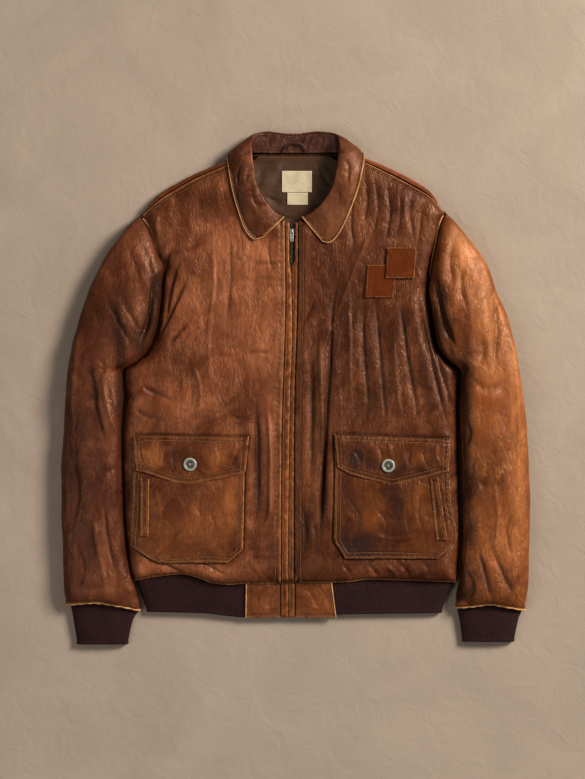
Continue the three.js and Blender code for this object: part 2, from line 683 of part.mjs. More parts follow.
// One line of the waist rib: round from the left tab, over the back, to the right tab.
function ribLine(v) {
  const front = (half) => {
    const y = mix(-292, half.ribSide[0][0], v);
    const side = graph(half.ribSide)(y);
    const start = graph(half.tabOuter)(y) + seamGap;
    const full = mix(ribHeight, ribEndHeight, v);
    return shares(ribFrontSteps).map((t) => {
      const out = mix(start, side, 1 - (1 - t) ** 1.6);
      const x = half.sign * out;
      const z = mix(ribFold, full, roll(side - out, 14));
      return [x, mix(half.hemAt(out) - ribGap, ribEnd(x), v), z];
    });
  };
  const [left, right] = [front(halves.left), front(halves.right)];
  const [from, to] = [left.at(-1)[0], right.at(-1)[0]];
  const back = shares(ribBackSteps, 0.6).slice(1, -1).map((t) => {
    const x = mix(from, to, t);
    const z = ribFold * (1 - roll(Math.min(from - x, x - to), 8));
    return [x, mix(middleOf(x).hemAt(Math.abs(x)) - ribGap, ribEnd(x), v), z];
  });
  return [...left, ...back, ...right.reverse()];
}

function buildHemTab(half) {
  const outerAt = graph(half.tabOuter);
  const grid = shares(3).map((v) => shares(4).map((u) => {
    const y = mix(half.hemAt(half.tabCentre) - seamGap, zipBottom - 0.5, v);
    const out = mix(half.tabCentre, outerAt(y) - seamGap, u);
    const seamZ = frontHeight(half, out, half.hemAt(out));
    return [half.sign * out, y, mix(seamZ - 0.4, ribEndHeight + 1.5, v)];
  }));
  add(`${half.name}_hem_tab`, wall(grid, leatherWall, [0, 0, 1]), leather);
}

// ---- Collar and neck -------------------------------------------------------------------------

// The collar's stations in order from the left front edge, round the back, to the right.
function collarLine(field) {
  const mirrored = collarStations.right.map((s) => [-s[field][0], s[field][1], s[field][2]]);
  const points = [
    ...collarStations.left.map((s) => s[field]),
    collarStations.back[field],
    ...mirrored.reverse(),
  ];
  const places = points.map((_, i) => i);
  const axes = [0, 1, 2].map((k) => cubic(places, points.map((p) => p[k]), false));
  return shares((points.length - 1) * collarSteps).map((t) => axes.map((a) => a(t * (points.length - 1))));
}

function buildCollar() {
  const [rolls, bends, edges, necks] = ["roll", "bend", "edge", "neck"].map(collarLine);
  const across = shares(fallSteps).map((t) => rolls.map((start, i) => start.map((_, k) => (
    (1 - t) ** 2 * start[k] + 2 * t * (1 - t) * bends[i][k] + t * t * edges[i][k]
  ))));
  add("collar_fall", wall(across, leatherWall, [0, 0, 1]), leather);

  // The stand ends just behind the fall's wall, where the collar rolls over.
  const normals = gridNormals(across, false);
  const sign = outwardSign(across, normals, [0, 0, 1]);
  const tops = rolls.map((point, i) => point.map((v, k) => v - sign * normals[0][i][k] * (leatherWall + seamGap)));
  add("collar_stand", wall([necks, tops], leatherWall, [0, 0, 1]), darkLeather);
}

// The lining over the inside of the back, rising to the sides of the neck.
function liningHeight(x, y) {
  const { height, middle, halfWidth, sideRise, topRise, topFrom, topReach } = liningForm;
  const side = Math.abs(x - middle) / halfWidth;
  return height + sideRise * side ** 2 + topRise * smooth((y - topFrom) / topReach);
}

// The lining, or a piece of cloth laid on it.
function neckPiece(name, area, thickness, lift, steps, material) {
  const [rightAt, leftAt] = [polyline(area.right), polyline(area.left)];
  const grid = shares(steps).map((v) => shares(steps).map((u) => {
    const y = mix(area.bottom, area.top, v);
    const x = mix(rightAt(y), leftAt(y), u);
    return [x, y, liningHeight(x, y) + lift];
  }));
  add(name, wall(grid, thickness, [0, 0, 1]), material);
}

// The loop's height follows the stand, which rises from the neck seam to the roll.
function buildHangerLoop() {
  const { width, thick, foot, rise, from } = loopForm;
  const points = neckPieces.hangerLoop.map(([x, y]) => new THREE.Vector3(x, y, foot + (y - from) * rise));
  const section = new THREE.Shape();
  section.moveTo(-thick / 2, -width / 2);
  section.lineTo(thick / 2, -width / 2);
  section.lineTo(thick / 2, width / 2);
  section.lineTo(-thick / 2, width / 2);
  const geometry = new THREE.ExtrudeGeometry(section, {
    steps: 12,
    bevelEnabled: false,
    extrudePath: new THREE.CatmullRomCurve3(points),
  });
  add("hanger_loop", geometry, darkLeather);
}

// ---- Zip -------------------------------------------------------------------------------------

const zipAt = graph(zipLine);

// The height of the zip's welts, which follow the fronts' centre edges down over the hem tabs.
function zipHeight(y) {
  const half = halves.left;
  const edge = frontHeight(half, half.centreAt(y), Math.max(y, half.centre[0][0]));
  const fall = smooth((half.centre[0][0] - y) / 54);
  return mix(edge, ribEndHeight + 1.5, fall) + 0.8;
}

function buildZipWelt(half, foldPairs) {
  const foldAt = graph(foldPairs);
  const outerAt = (y) => (y < half.centre[0][0] ? half.tabCentre : half.centreAt(y)) - 0.8;
  const grid = shares(weltSteps, 0.3).map((v) => {
    const y = mix(zipBottom, zipTop, v);
    const fold = half.sign * zipAt(y) + foldAt(y);
    const crown = zipHeight(y);
    return [[0, -1.4], [0.5, 0], [1, -1]].map(([u, drop]) => (
      [half.sign * mix(fold, outerAt(y), u), y, crown + drop]
    ));
  });
  add(`${half.name}_zip_welt`, wall(grid, leatherWall, [0, 0, 1]), leather);
}

function buildZipChain() {
  const halfWidth = 6;
  const grid = shares(weltSteps, 0.3).map((v) => {
    const y = mix(zipBottom, zipTop, v);
    return [-1, 0, 1].map((side) => (
      [zipAt(y) + side * halfWidth, y, zipHeight(y) - chainDrop]
    ));
  });
  add("zip_chain", wall(grid, leatherWall, [0, 0, 1]), tape);
}

// A three.js geometry as a solid that can be joined to another.
function solid(wasm, geometry) {
  const bare = geometry.clone();
  bare.deleteAttribute("normal");
  bare.deleteAttribute("uv");
  const merged = mergeVertices(bare, 1e-3);
  return new wasm.Manifold(new wasm.Mesh({
    numProp: 3,
    vertProperties: new Float32Array(merged.attributes.position.array),
    triVerts: new Uint32Array(merged.index.array),
  }));
}

function fromSolid(shape) {
  const mesh = shape.getMesh();
  const geometry = new THREE.BufferGeometry();
  geometry.setAttribute("position", new THREE.Float32BufferAttribute(mesh.vertProperties, 3));
  geometry.setIndex([...mesh.triVerts]);
  geometry.computeVertexNormals();
  return geometry;
}

const sliderX = zipAt(slider.y);
const sliderBottom = zipHeight(slider.y) - chainDrop + seamGap;
const crownBottom = sliderBottom + slider.plate;
const eyeRoom = 3.2; // the height of the opening under the crown
const crownLeg = 1;
const sink = 0.4; // the crown's legs reach this far into the plate
const eyeTop = 0.4; // from the slider's middle to the pull's bar, which turns under the crown
const pullGap = 0.5;

// The slider: a plate over the teeth, with a crown that the pull's eye hangs on.
async function buildSlider() {
  const wasm = await Module();
  wasm.setup();
  const plate = new THREE.BoxGeometry(slider.width, slider.length, slider.plate);
  plate.translate(sliderX, slider.y, sliderBottom + slider.plate / 2);
  const reach = slider.crownLength / 2;
  const arch = new THREE.Shape();
  arch.moveTo(-reach, -sink);
  arch.lineTo(-reach, eyeRoom * 0.5);
  arch.absarc(0, eyeRoom * 0.5, reach, Math.PI, 0, true);
  arch.lineTo(reach, -sink);
  arch.lineTo(reach - crownLeg, -sink);
  arch.lineTo(reach - crownLeg, eyeRoom * 0.5);
  arch.absarc(0, eyeRoom * 0.5, reach - crownLeg, 0, Math.PI, false);
  arch.lineTo(-reach + crownLeg, -sink);
  const crown = new THREE.ExtrudeGeometry(arch, {
    depth: slider.crownWidth,
    bevelEnabled: false,
    curveSegments: 6,
  });
  crown.translate(0, 0, -slider.crownWidth / 2);
  crown.rotateX(Math.PI / 2);
  crown.rotateZ(Math.PI / 2);
  crown.translate(sliderX, slider.y, crownBottom);
  add("zip_slider", fromSolid(solid(wasm, plate).add(solid(wasm, crown))), metal);
}

// The pull lies towards the hem, its eye round the front leg of the crown.
function buildPull() {
  const halfWidth = pull.width / 2;
  const eyeHalf = pull.eyeWidth / 2;
  const outline = new THREE.Shape();
  outline.moveTo(-halfWidth, pull.bar - eyeTop);
  outline.lineTo(-halfWidth, -pull.length + pull.chamfer);
  outline.lineTo(-halfWidth + pull.chamfer, -pull.length);
  outline.lineTo(halfWidth - pull.chamfer, -pull.length);
  outline.lineTo(halfWidth, -pull.length + pull.chamfer);
  outline.lineTo(halfWidth, pull.bar - eyeTop);
  const eye = new THREE.Path();
  eye.moveTo(-eyeHalf, -eyeTop);
  eye.lineTo(eyeHalf, -eyeTop);
  eye.lineTo(eyeHalf, -eyeTop - pull.eyeLength);
  eye.lineTo(-eyeHalf, -eyeTop - pull.eyeLength);
  outline.holes.push(eye);
  const geometry = new THREE.ExtrudeGeometry(outline, { depth: pull.thick, bevelEnabled: false });
  geometry.translate(sliderX, slider.y, crownBottom + pullGap);
  add("zip_pull", geometry, metal);
}

// ---- Pockets, flaps, patches and buttons -----------------------------------------------------

// A piece sewn on a front: rows between y values, columns between its inner and outer edges.
function onFrontPiece(name, half, rows, columns, innerAt, outerAt, lift, thickness, material) {
  const grid = rows.map((y) => columns.map((u) => (
    onFront(half, mix(innerAt(y), outerAt(y), u), y, lift + thickness)
  )));
  add(name, wall(grid, thickness, [0, 0, 1]), material);
}

const flapLift = layGap + leatherWall + 0.8;

// Rows are close together in the cut-off bottom corners, below this height.
const cornerTop = -225;

function buildPocket(half) {
  const { inner, outer } = half.pocket;
  const corners = [...new Set([...inner, ...outer].map(([y]) => y))].sort((a, b) => a - b);
  const rows = corners.flatMap((y, i) => {
    if (i === 0) return [y];
    const parts = Math.max(1, Math.round((y - corners[i - 1]) / (y < cornerTop ? 7 : 60)));
    return shares(parts).slice(1).map((t) => mix(corners[i - 1], y, t));
  });
  onFrontPiece(`${half.name}_pocket`, half, rows, [0, 0.22, 0.45, 0.7, 0.86, 0.95, 1],
    polyline(inner), polyline(outer), layGap, leatherWall, leather);
}

function buildSideWelt(half) {
  const { inner, outer } = half.sideWelt;
  const bottom = Math.min(inner[0][0], outer[0][0]);
  const rows = shares(3).map((t) => mix(bottom, inner.at(-1)[0], t));
  onFrontPiece(`${half.name}_side_welt`, half, rows, [0, 0.5, 1],
    polyline(inner), polyline(outer), flapLift, leatherWall, leather);
}

function buildFlap(half) {
  const { corners, bottom } = half.flap;
  const bottomAt = polyline(bottom);
  const grid = [0, 0.35, 0.7, 1].map((v) => shares(8, 0.3).map((u) => {
    const bottomOut = mix(bottom[0][0], bottom.at(-1)[0], u);
    const topOut = mix(corners.innerTop[0], corners.outerTop[0], u);
    const topY = mix(corners.innerTop[1], corners.outerTop[1], u);
    const lift = mix(flapLift, layGap, smooth((v - 0.7) / 0.3));
    return onFront(half, mix(bottomOut, topOut, v), mix(bottomAt(bottomOut), topY, v), lift + leatherWall);
  }));
  add(`${half.name}_flap`, wall(grid, leatherWall, [0, 0, 1]), leather);
}

function buildButton(half) {
  const { radius, thick, holeRadius, holeSpread } = buttonSize;
  const disc = new THREE.Shape();
  disc.absarc(0, 0, radius, 0, 2 * Math.PI);
  for (let i = 0; i < 4; i += 1) {
    const angle = (i + 0.5) * Math.PI / 2;
    const hole = new THREE.Path();
    hole.absarc(holeSpread * Math.cos(angle), holeSpread * Math.sin(angle), holeRadius, 0, 2 * Math.PI);
    disc.holes.push(hole);
  }
  const geometry = new THREE.ExtrudeGeometry(disc, { depth: thick, bevelEnabled: false, curveSegments: 5 });
  const mesh = add(`${half.name}_button`, geometry, horn);
  const [x, y, z] = onFront(half, ...half.button, flapLift + leatherWall + 0.7);
  mesh.position.set(x, y, z);
}

function buildPatch(name, piece, lift) {
  const rows = shares(3).map((t) => mix(piece.bottom, piece.top, t));
  onFrontPiece(name, halves.left, rows, shares(3),
    polyline(piece.inner), polyline(piece.outer), lift, patchWall, patchLeather);
}

// A strap over the shoulder, wrapped round it from the seam to the underside. Its edges lie at these
// angles round the fold, in degrees.
const strapFrom = 70;
const strapTo = -40;

function buildShoulderStrap(half) {
  const lift = layGap + seamGap + leatherWall;
  const seams = backColumns().filter((column) => column.half === half && !column.neck)
    .map((column) => column.seamOut).sort((a, b) => a - b);
  const along = (value) => polyline(seams.map((out) => [out, value(out)]));
  const yAt = along(half.topAt);
  const reachAt = along(half.reachAt);
  const topAt = along((out) => frontHeight(half, out, half.topAt(out)));
  const grid = [...seams.slice(1, -2), half.tipOut - 10].map((out) => shares(4).map((s) => {
    const angle = mix(strapFrom, strapTo, s) * Math.PI / 180;
    return [
      half.sign * out,
      yAt(out) + (reachAt(out) + lift) * Math.cos(angle),
      topAt(out) / 2 + (topAt(out) / 2 + lift) * Math.sin(angle),
    ];
  }));
  add(`${half.name}_shoulder_strap`, wall(grid, leatherWall, [0, 1, 0.5]), leather);
}

// ---- The jacket ------------------------------------------------------------------------------

buildBack();
for (const half of Object.values(halves)) {
  buildFront(half);
  buildShoulderStrap(half);
  buildSleeve(half);
  buildCuff(half);
  buildHemTab(half);
  buildPocket(half);
  buildFlap(half);
  buildSideWelt(half);
  buildButton(half);
}
add("waist_rib", wall(ribRows.map(ribLine), ribWall, [0, 0, 1]), rib);
buildCollar();
neckPiece("back_lining", neckPieces.lining, liningWall, 0, 6, lining);
neckPiece("main_label", neckPieces.mainLabel, labelWall, labelWall + seamGap, 2, label);
neckPiece("size_tab", neckPieces.sizeTab, labelWall, labelWall + seamGap, 2, label);
buildHangerLoop();
buildZipWelt(halves.left, leftWeltFold);
buildZipWelt(halves.right, rightWeltFold);
buildZipChain();
await buildSlider();
buildPull();
buildPatch("lower_patch", patches.lower, layGap);
buildPatch("upper_patch", patches.upper, layGap + patchWall + layGap);

export default jacket;
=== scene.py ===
import math

import bmesh
import bpy
import numpy as np
from mathutils import Matrix, Vector, noise


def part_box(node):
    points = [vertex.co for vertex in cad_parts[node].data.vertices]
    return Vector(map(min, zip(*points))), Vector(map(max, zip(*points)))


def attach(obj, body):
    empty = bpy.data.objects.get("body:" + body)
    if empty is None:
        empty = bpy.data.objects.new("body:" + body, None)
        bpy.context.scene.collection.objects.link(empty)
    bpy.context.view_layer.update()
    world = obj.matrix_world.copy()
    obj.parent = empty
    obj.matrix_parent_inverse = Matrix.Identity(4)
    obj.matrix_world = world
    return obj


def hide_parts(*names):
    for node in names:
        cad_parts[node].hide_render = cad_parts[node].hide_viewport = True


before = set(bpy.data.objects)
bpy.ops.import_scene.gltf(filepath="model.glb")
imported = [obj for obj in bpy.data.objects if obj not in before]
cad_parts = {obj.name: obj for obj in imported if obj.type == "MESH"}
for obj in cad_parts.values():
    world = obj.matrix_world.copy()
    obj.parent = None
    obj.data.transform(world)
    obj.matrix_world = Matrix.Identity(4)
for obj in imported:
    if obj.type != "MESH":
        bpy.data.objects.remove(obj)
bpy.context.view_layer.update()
print("frame loaded")

mm = 0.001  # sizes below are in millimetres, +X the wearer's left, +Y towards the collar

# curves and sums

def mix(a, b, t):
    return a + (b - a) * t


def clamp01(t):
    return np.clip(t, 0, 1)


def smooth(t):
    return clamp01(t) ** 2 * (3 - 2 * clamp01(t))


def bump(distance, width):  # 1 on a line, falling away over "width"
    return np.exp(-((distance / width) ** 2))


def roll(distance, radius):  # 0 at an edge and 1 at "radius" from it, like a quarter round
    return np.sqrt(1 - (1 - clamp01(distance / radius)) ** 2)


def unit(vectors):
    return vectors / np.maximum(np.linalg.norm(vectors, axis=-1, keepdims=True), 1e-9)


def stack(*parts):
    return np.stack(np.broadcast_arrays(*parts), axis=-1)


def cubicThrough(places, values, limited=True):  # limited slopes never overshoot
    places = np.array(places, float)
    values = np.array(values, float)
    rise = np.diff(values) / np.diff(places)
    slopes = np.concatenate([rise[:1], rise])
    if limited:
        same = rise[:-1] * rise[1:] > 0
        total = np.where(same, rise[:-1] + rise[1:], 1)
        slopes[1:-1] = np.where(same, 2 * rise[:-1] * rise[1:] / total, 0)
    else:
        slopes[1:-1] = (values[2:] - values[:-2]) / (places[2:] - places[:-2])

    def at(place):
        place = np.clip(place, places[0], places[-1])
        i = np.clip(np.searchsorted(places, place, side="right") - 1, 0, len(places) - 2)
        span = places[i + 1] - places[i]
        t = (place - places[i]) / span
        start = values[i] * (1 + 2 * t) * (1 - t) ** 2 + slopes[i] * span * t * (1 - t) ** 2
        end = values[i + 1] * t * t * (3 - 2 * t) + slopes[i + 1] * span * t * t * (t - 1)
        return start + end

    return at


def graph(pairs):
    return cubicThrough([p[0] for p in pairs], [p[1] for p in pairs])


def straight(pairs):
    return lambda place: np.interp(place, [p[0] for p in pairs], [p[1] for p in pairs])


def runLengths(points):  # how far along a line each of its points is
    return np.concatenate([[0], np.cumsum(np.linalg.norm(np.diff(points, axis=0), axis=1))])


def pathThrough(points):  # a smooth path, read at a share of its length
    points = np.array(points, float)
    lengths = runLengths(points)
    axes = [cubicThrough(lengths, points[:, k], False) for k in range(points.shape[1])]
    return lambda share: stack(*[axis(np.asarray(share) * lengths[-1]) for axis in axes])


# the body's form, the same as the solids'

cloth = {"leather": 1.4, "knit": 2.2, "lining": 1.0, "label": 0.8, "patch": 1.0}
gaps = {"seam": 0.4, "armhole": 0.9, "lay": 1.0, "side": 1.9, "rib": 1.6, "flap": 0.8}
heights = {
    "body": 30, "sideSeam": 8, "hem": 16.5, "neck": 24, "shoulderTip": 14, "centre": 25.5,
    "sleeveFold": 11, "cuffFold": 6, "fallLift": 3.9, "sleeveEnd": 22, "cuffTop": 17, "cuffEnd": 13,
    "ribFold": 6.5, "rib": 14.2, "ribEnd": 11,
}
rolls = {"side": 26, "hem": 22, "top": 30, "centre": 14, "armhole": 26, "cuff": 26, "ribSide": 14}
rounds = {"edge": 4, "sleeve": 2.4, "cuff": 2.6, "under": 5, "dip": 1.06}

# "centre", "side" and the rib give the distance out from the middle at y, "top" and "hem" give y
halves = {
    "left": {
        "sign": 1, "pit": 24, "neckCorner": 80,
        "centre": [(-291, 4), (-78, 4), (-3, 5), (132, 9), (249, 10)],
        "side": [(-290, 248), (-213, 252), (-33, 249), (24, 251), (45, 229), (68, 215),
                 (120, 207), (147, 203), (174, 206), (222, 215), (249, 221), (261, 227)],
        "top": [(10, 249), (34, 261), (56, 285), (71, 312), (80, 348), (104, 338),
                (139, 322), (176, 303), (206, 285), (227, 261)],
        "hem": [(4, -291), (79, -290), (116, -286), (161, -287), (248, -290)],
        "reach": [(80, 4), (110, 6.5), (139, 8), (176, 9), (206, 8), (221, 5), (227, 4)],
        "sleeveOuter": [(228, 266), (259, 232), (289, 189), (311, 135), (331, 72), (344, 4),
                        (352, -63), (356, -168), (356, -228), (353, -303), (349, -334)],
        "sleeveInner": [(252, 24.3), (251.6, -18), (252.5, -63), (254.5, -128), (254.8, -198),
                        (253, -258), (250, -290), (246, -308), (245, -330)],
        "cuffSeam": [(349, -334), (319, -328), (296, -324), (274, -327), (245, -330)],
        "cuffOuter": [(0, 344), (0.3, 339), (1, 332)],
        "cuffInner": [(0, 248), (0.3, 251), (1, 256)],
        "cuffEnd": -381,
        "ribSide": [(-338, 223), (-318, 230), (-292, 244)],
        "tabOuter": [(-345, 66), (-291, 59)],
        "tabCentre": 4.8,
        "pocketInner": [(-255, 79), (-228, 62), (-94, 64)],
        "pocketOuter": [(-255, 217), (-232, 244), (-218, 245), (-168, 236), (-94, 232)],
        "flapTop": [(62, -68), (235, -75)],
        "flapBottom": [(67, -118), (86, -129), (149, -146), (206, -132), (232, -124)],
        "weltInner": [(-228, 215), (-135, 205)],
        "weltOuter": [(-222, 230), (-135, 218)],
        "button": (143, -116),
        "zipFold": [(183, 0.5), (191, 5.2)],
    },
    "right": {
        "sign": -1, "pit": 26, "neckCorner": 74,
        "centre": [(-291, 18), (-78, 17), (-3, 15), (132, 11), (249, 12)],
        "side": [(-288, 238), (-266, 244), (-236, 248), (-153, 253), (-63, 254), (-18, 250),
                 (26, 253), (36, 236), (52, 217), (99, 200), (132, 196), (158, 194),
                 (183, 191), (198, 199), (218, 206), (240, 214), (256, 226)],
        "top": [(12, 249), (34, 262), (52, 282), (64, 308), (74, 346), (97, 333),
                (139, 315), (169, 299), (199, 280), (226, 256)],
        "hem": [(18, -292), (71, -292), (94, -294), (121, -291), (139, -284),
                (166, -278), (191, -280), (238, -288)],
        "reach": [(74, 4), (105, 6.5), (139, 7), (169, 8), (199, 9), (218, 7), (226, 4)],
        "sleeveOuter": [(226.6, 261), (259, 230), (289, 184), (311, 132), (328, 72), (340, -3),
                        (346, -93), (346, -168), (344, -243), (343, -303), (340, -326)],
        "sleeveInner": [(254, 26.3), (256, -18), (258, -63), (256, -128), (254.8, -153),
                        (251.8, -198), (249.8, -236), (246, -266), (240.5, -288), (234, -308),
                        (228, -334)],
        "cuffSeam": [(340, -326), (296, -322), (259, -327), (228, -334)],
        "cuffOuter": [(0, 333), (0.3, 329), (1, 323)],
        "cuffInner": [(0, 231), (0.3, 240), (1, 248)],
        "cuffEnd": -385,
        "ribSide": [(-336, 218), (-318, 225), (-292, 236)],
        "tabOuter": [(-345, 71), (-291, 70)],
        "tabCentre": 18.5,
        "pocketInner": [(-261, 97), (-242, 74), (-94, 71)],
        "pocketOuter": [(-261, 199), (-256, 211), (-236, 241), (-222, 241), (-183, 239), (-94, 237)],
        "flapTop": [(65, -72), (237, -69)],
        "flapBottom": [(70, -124), (79, -129), (154, -144), (176, -141), (214, -128), (233, -123)],
        "weltInner": [(-219, 215), (-135, 214)],
        "weltOuter": [(-222, 227), (-135, 227)],
        "button": (153, -114),
        "zipFold": [(168, 0.5), (191, 3.4)],
    },
}
# the height along the armhole and the back's edge, from the armpit up to the shoulder's tip
armholeHeight = [(24, 8.2), (60, 8.2), (150, 9), (190, 12), (222, 16), (249, 16), (261, 14)]
backEdgeHeight = [(24, 7.8), (40, 3), (60, 0)]

for name, half in halves.items():
    half["name"] = name
    for line in ("centre", "side", "top", "hem", "reach", "zipFold", "ribSide", "tabOuter"):
        half[line + "At"] = graph(half[line])
    half["tipOut"] = half["side"][-1][1]
    half["tipY"] = half["side"][-1][0]
    half["sideBottom"] = half["side"][0][0]
    low, high = armholeHeight[0][0], armholeHeight[-1][0]
    stretch = (half["tipY"] - half["pit"]) / (high - low)
    half["armholeAt"] = graph([(half["pit"] + (y - low) * stretch, z) for y, z in armholeHeight])
    half["backEdgeAt"] = graph([(y - low + half["pit"], z) for y, z in backEdgeHeight])


def seamHeight(half, out):
    share = (out - half["neckCorner"]) / (half["tipOut"] - half["neckCorner"])
    return mix(heights["neck"], heights["shoulderTip"], clamp01(share))


def frontHeight(half, out, y):
    seam = heights["sideSeam"] + gaps["seam"] / 2
    side = np.where(y <= half["pit"], seam, half["armholeAt"](y))
    edges = [
        (half["sideAt"](y) - out, rolls["side"], side),
        (half["topAt"](out) - y, rolls["top"], seamHeight(half, out)),
        (y - half["hemAt"](out), rolls["hem"], heights["hem"]),
        (out - half["centreAt"](y), rolls["centre"], heights["centre"]),
    ]
    full = heights["body"]
    drop = sum(((1 - z / full) * (1 - roll(away, radius))) ** rounds["edge"] for away, radius, z in edges)
    return full * (1 - drop ** (1 / rounds["edge"]))


def onFront(half, out, y, lift=0.0):  # a point of a front, moved out by "lift" along its normal
    step = 1.5
    z = frontHeight(half, out, y)
    slopeOut = (frontHeight(half, out + step, y) - frontHeight(half, out - step, y)) / (2 * step)
    slopeY = (frontHeight(half, out, y + step) - frontHeight(half, out, y - step)) / (2 * step)
    normal = unit(stack(-slopeOut, -slopeY, 1.0))
    place = stack(out, y, z) + normal * np.asarray(lift)[..., None]
    return place * np.array([half["sign"], 1, 1])


def frontForm(half):
    y0, y1 = half["centre"][0][0], half["centre"][-1][0]
    s0, s1 = half["sideBottom"], half["tipY"]
    c0, c1 = half["centreAt"](y0), half["centreAt"](y1)
    e0, e1 = half["sideAt"](s0), half["tipOut"]

    def form(u, v):
        centreY, sideY = mix(y0, y1, v), mix(s0, s1, v)
        out = mix(half["centreAt"](centreY), half["sideAt"](sideY), u)
        hemBow = half["hemAt"](mix(c0, e0, u)) - mix(y0, s0, u)
        topBow = half["topAt"](mix(c1, e1, u)) - mix(y1, s1, u)
        y = mix(centreY, sideY, u) + (1 - v) * hemBow + v * topBow
        return stack(half["sign"] * out, y - v * gaps["seam"] / 2, frontHeight(half, out, y))

    return form


# cloth pieces: a grid laid over a form, then creased, sewn and given its wall

piecesByName = {}
lineSteps = 1201  # points that a line is read at where its length is wanted


def evenShares(line, cell, count=None):  # shares of a line that lie evenly along its length
    t = np.linspace(0, 1, lineSteps)
    length = runLengths(line(t))
    count = count or max(4, round(length[-1] / cell))
    return np.interp(np.linspace(0, length[-1], count + 1), length, t)


def gridNormals(points, facing, tube):
    across = np.gradient(points, axis=1)
    along = np.gradient(points, axis=0)
    if tube:
        across[:, 0] = across[:, -1] = (points[:, 1] - points[:, -2]) / 2
    normals = unit(np.cross(across, along))
    out = points - points.mean(axis=1, keepdims=True) if facing is None else np.array(facing, float)
    sign = np.sign((normals * out).sum())
    return normals * sign, sign


def nearest(edges, *sides):  # the distance to whichever of these edges is closest
    return np.minimum.reduce([edges[side] for side in sides])


def edgeDistances(points, tube):  # how far each point is from each edge, along the cloth
    def runs(axis):
        steps = np.linalg.norm(np.diff(points, axis=axis), axis=2)
        first = np.zeros_like(steps.take([0], axis=axis))
        run = np.concatenate([first, np.cumsum(steps, axis=axis)], axis=axis)
        return run, run.take([-1], axis=axis) - run

    low, high = runs(0)
    first, last = runs(1)
    sides = {"low": low, "high": high, "first": first, "last": last}
    sides["any"] = nearest(sides, *(("low", "high") if tube else tuple(sides)))
    return sides


def nearPath(x, y, path, curved=True):  # distance to a path, side of it, share of the way along
    path = pathThrough(path)(np.linspace(0, 1, 4 * len(path))) if curved else np.array(path, float)
    steps = np.diff(path, axis=0)
    lengths = np.linalg.norm(steps, axis=1)
    done = np.concatenate([[0], np.cumsum(lengths)])
    best = np.full(x.shape, 1e9)
    side = np.zeros(x.shape)
    share = np.zeros(x.shape)
    for start, step, length, before in zip(path[:-1], steps, lengths, done):
        dx, dy = x - start[0], y - start[1]
        t = clamp01((dx * step[0] + dy * step[1]) / length**2)
        away = np.hypot(dx - t * step[0], dy - t * step[1])
        closer = away < best
        best = np.where(closer, away, best)
        side = np.where(closer, np.sign(dx * step[1] - dy * step[0]), side)
        share = np.where(closer, (before + t * length) / done[-1], share)
    return best, side, share


def creaseRelief(x, y, creases):  # (height, width, path): a sharp fold, steep on one side only
    relief = np.zeros(x.shape)
    for height, width, path in creases:
        lowX, lowY = np.min(path, axis=0) - 4 * width
        highX, highY = np.max(path, axis=0) + 4 * width
        near = (x > lowX) & (x < highX) & (y > lowY) & (y < highY)
        if not near.any():
            continue
        away, side, share = nearPath(x[near], y[near], path)
        fade = smooth(share / 0.3) * smooth((1 - share) / 0.3) * 0.85 + 0.15
        slope = width * np.where(side > 0, 1.25, 0.5)
        fold = 0.62 * bump(away, max(0.34 * width, 2.0)) + 0.38 * bump(away, slope)
        relief[near] += height * fade * (fold - 0.3 * bump(away * side - 2.3 * width, 1.3 * width))
    return relief


def rumple(points, size, stretch=(1, 1, 1), octaves=3, seed=0):  # soft waves from -1 to 1
    scaled = points.reshape(-1, 3) / (size * np.array(stretch, float)) + seed * 17.3
    values = [noise.fractal(place, 0.8, 2.1, octaves) for place in scaled]
    return np.array(values).reshape(points.shape[:-1])


def folded(points, size, stretch=(1, 1, 1), octaves=3, seed=0):  # round tops and sharp valleys
    return np.minimum(np.abs(rumple(points, size, stretch, octaves, seed)) ** 0.8 * 2.4, 1.4) - 0.7


# soft spots of lighter and darker colour, used for stains and faded patches and for painted highlights and
# shade
def softSpots(x, y, spots):  # (amount, x, y, half width, half height)
    return sum((a * np.exp(-(((x - cx) / w) ** 2) - ((y - cy) / h) ** 2) for a, cx, cy, w, h in spots),
               np.zeros(x.shape))


# the fold height also scales the ridge that paints shade into fold valleys
ridgeAndRub = {"ridge": 2.2, "rub": 1.5}  # a fold's full height and how wide an edge is rubbed


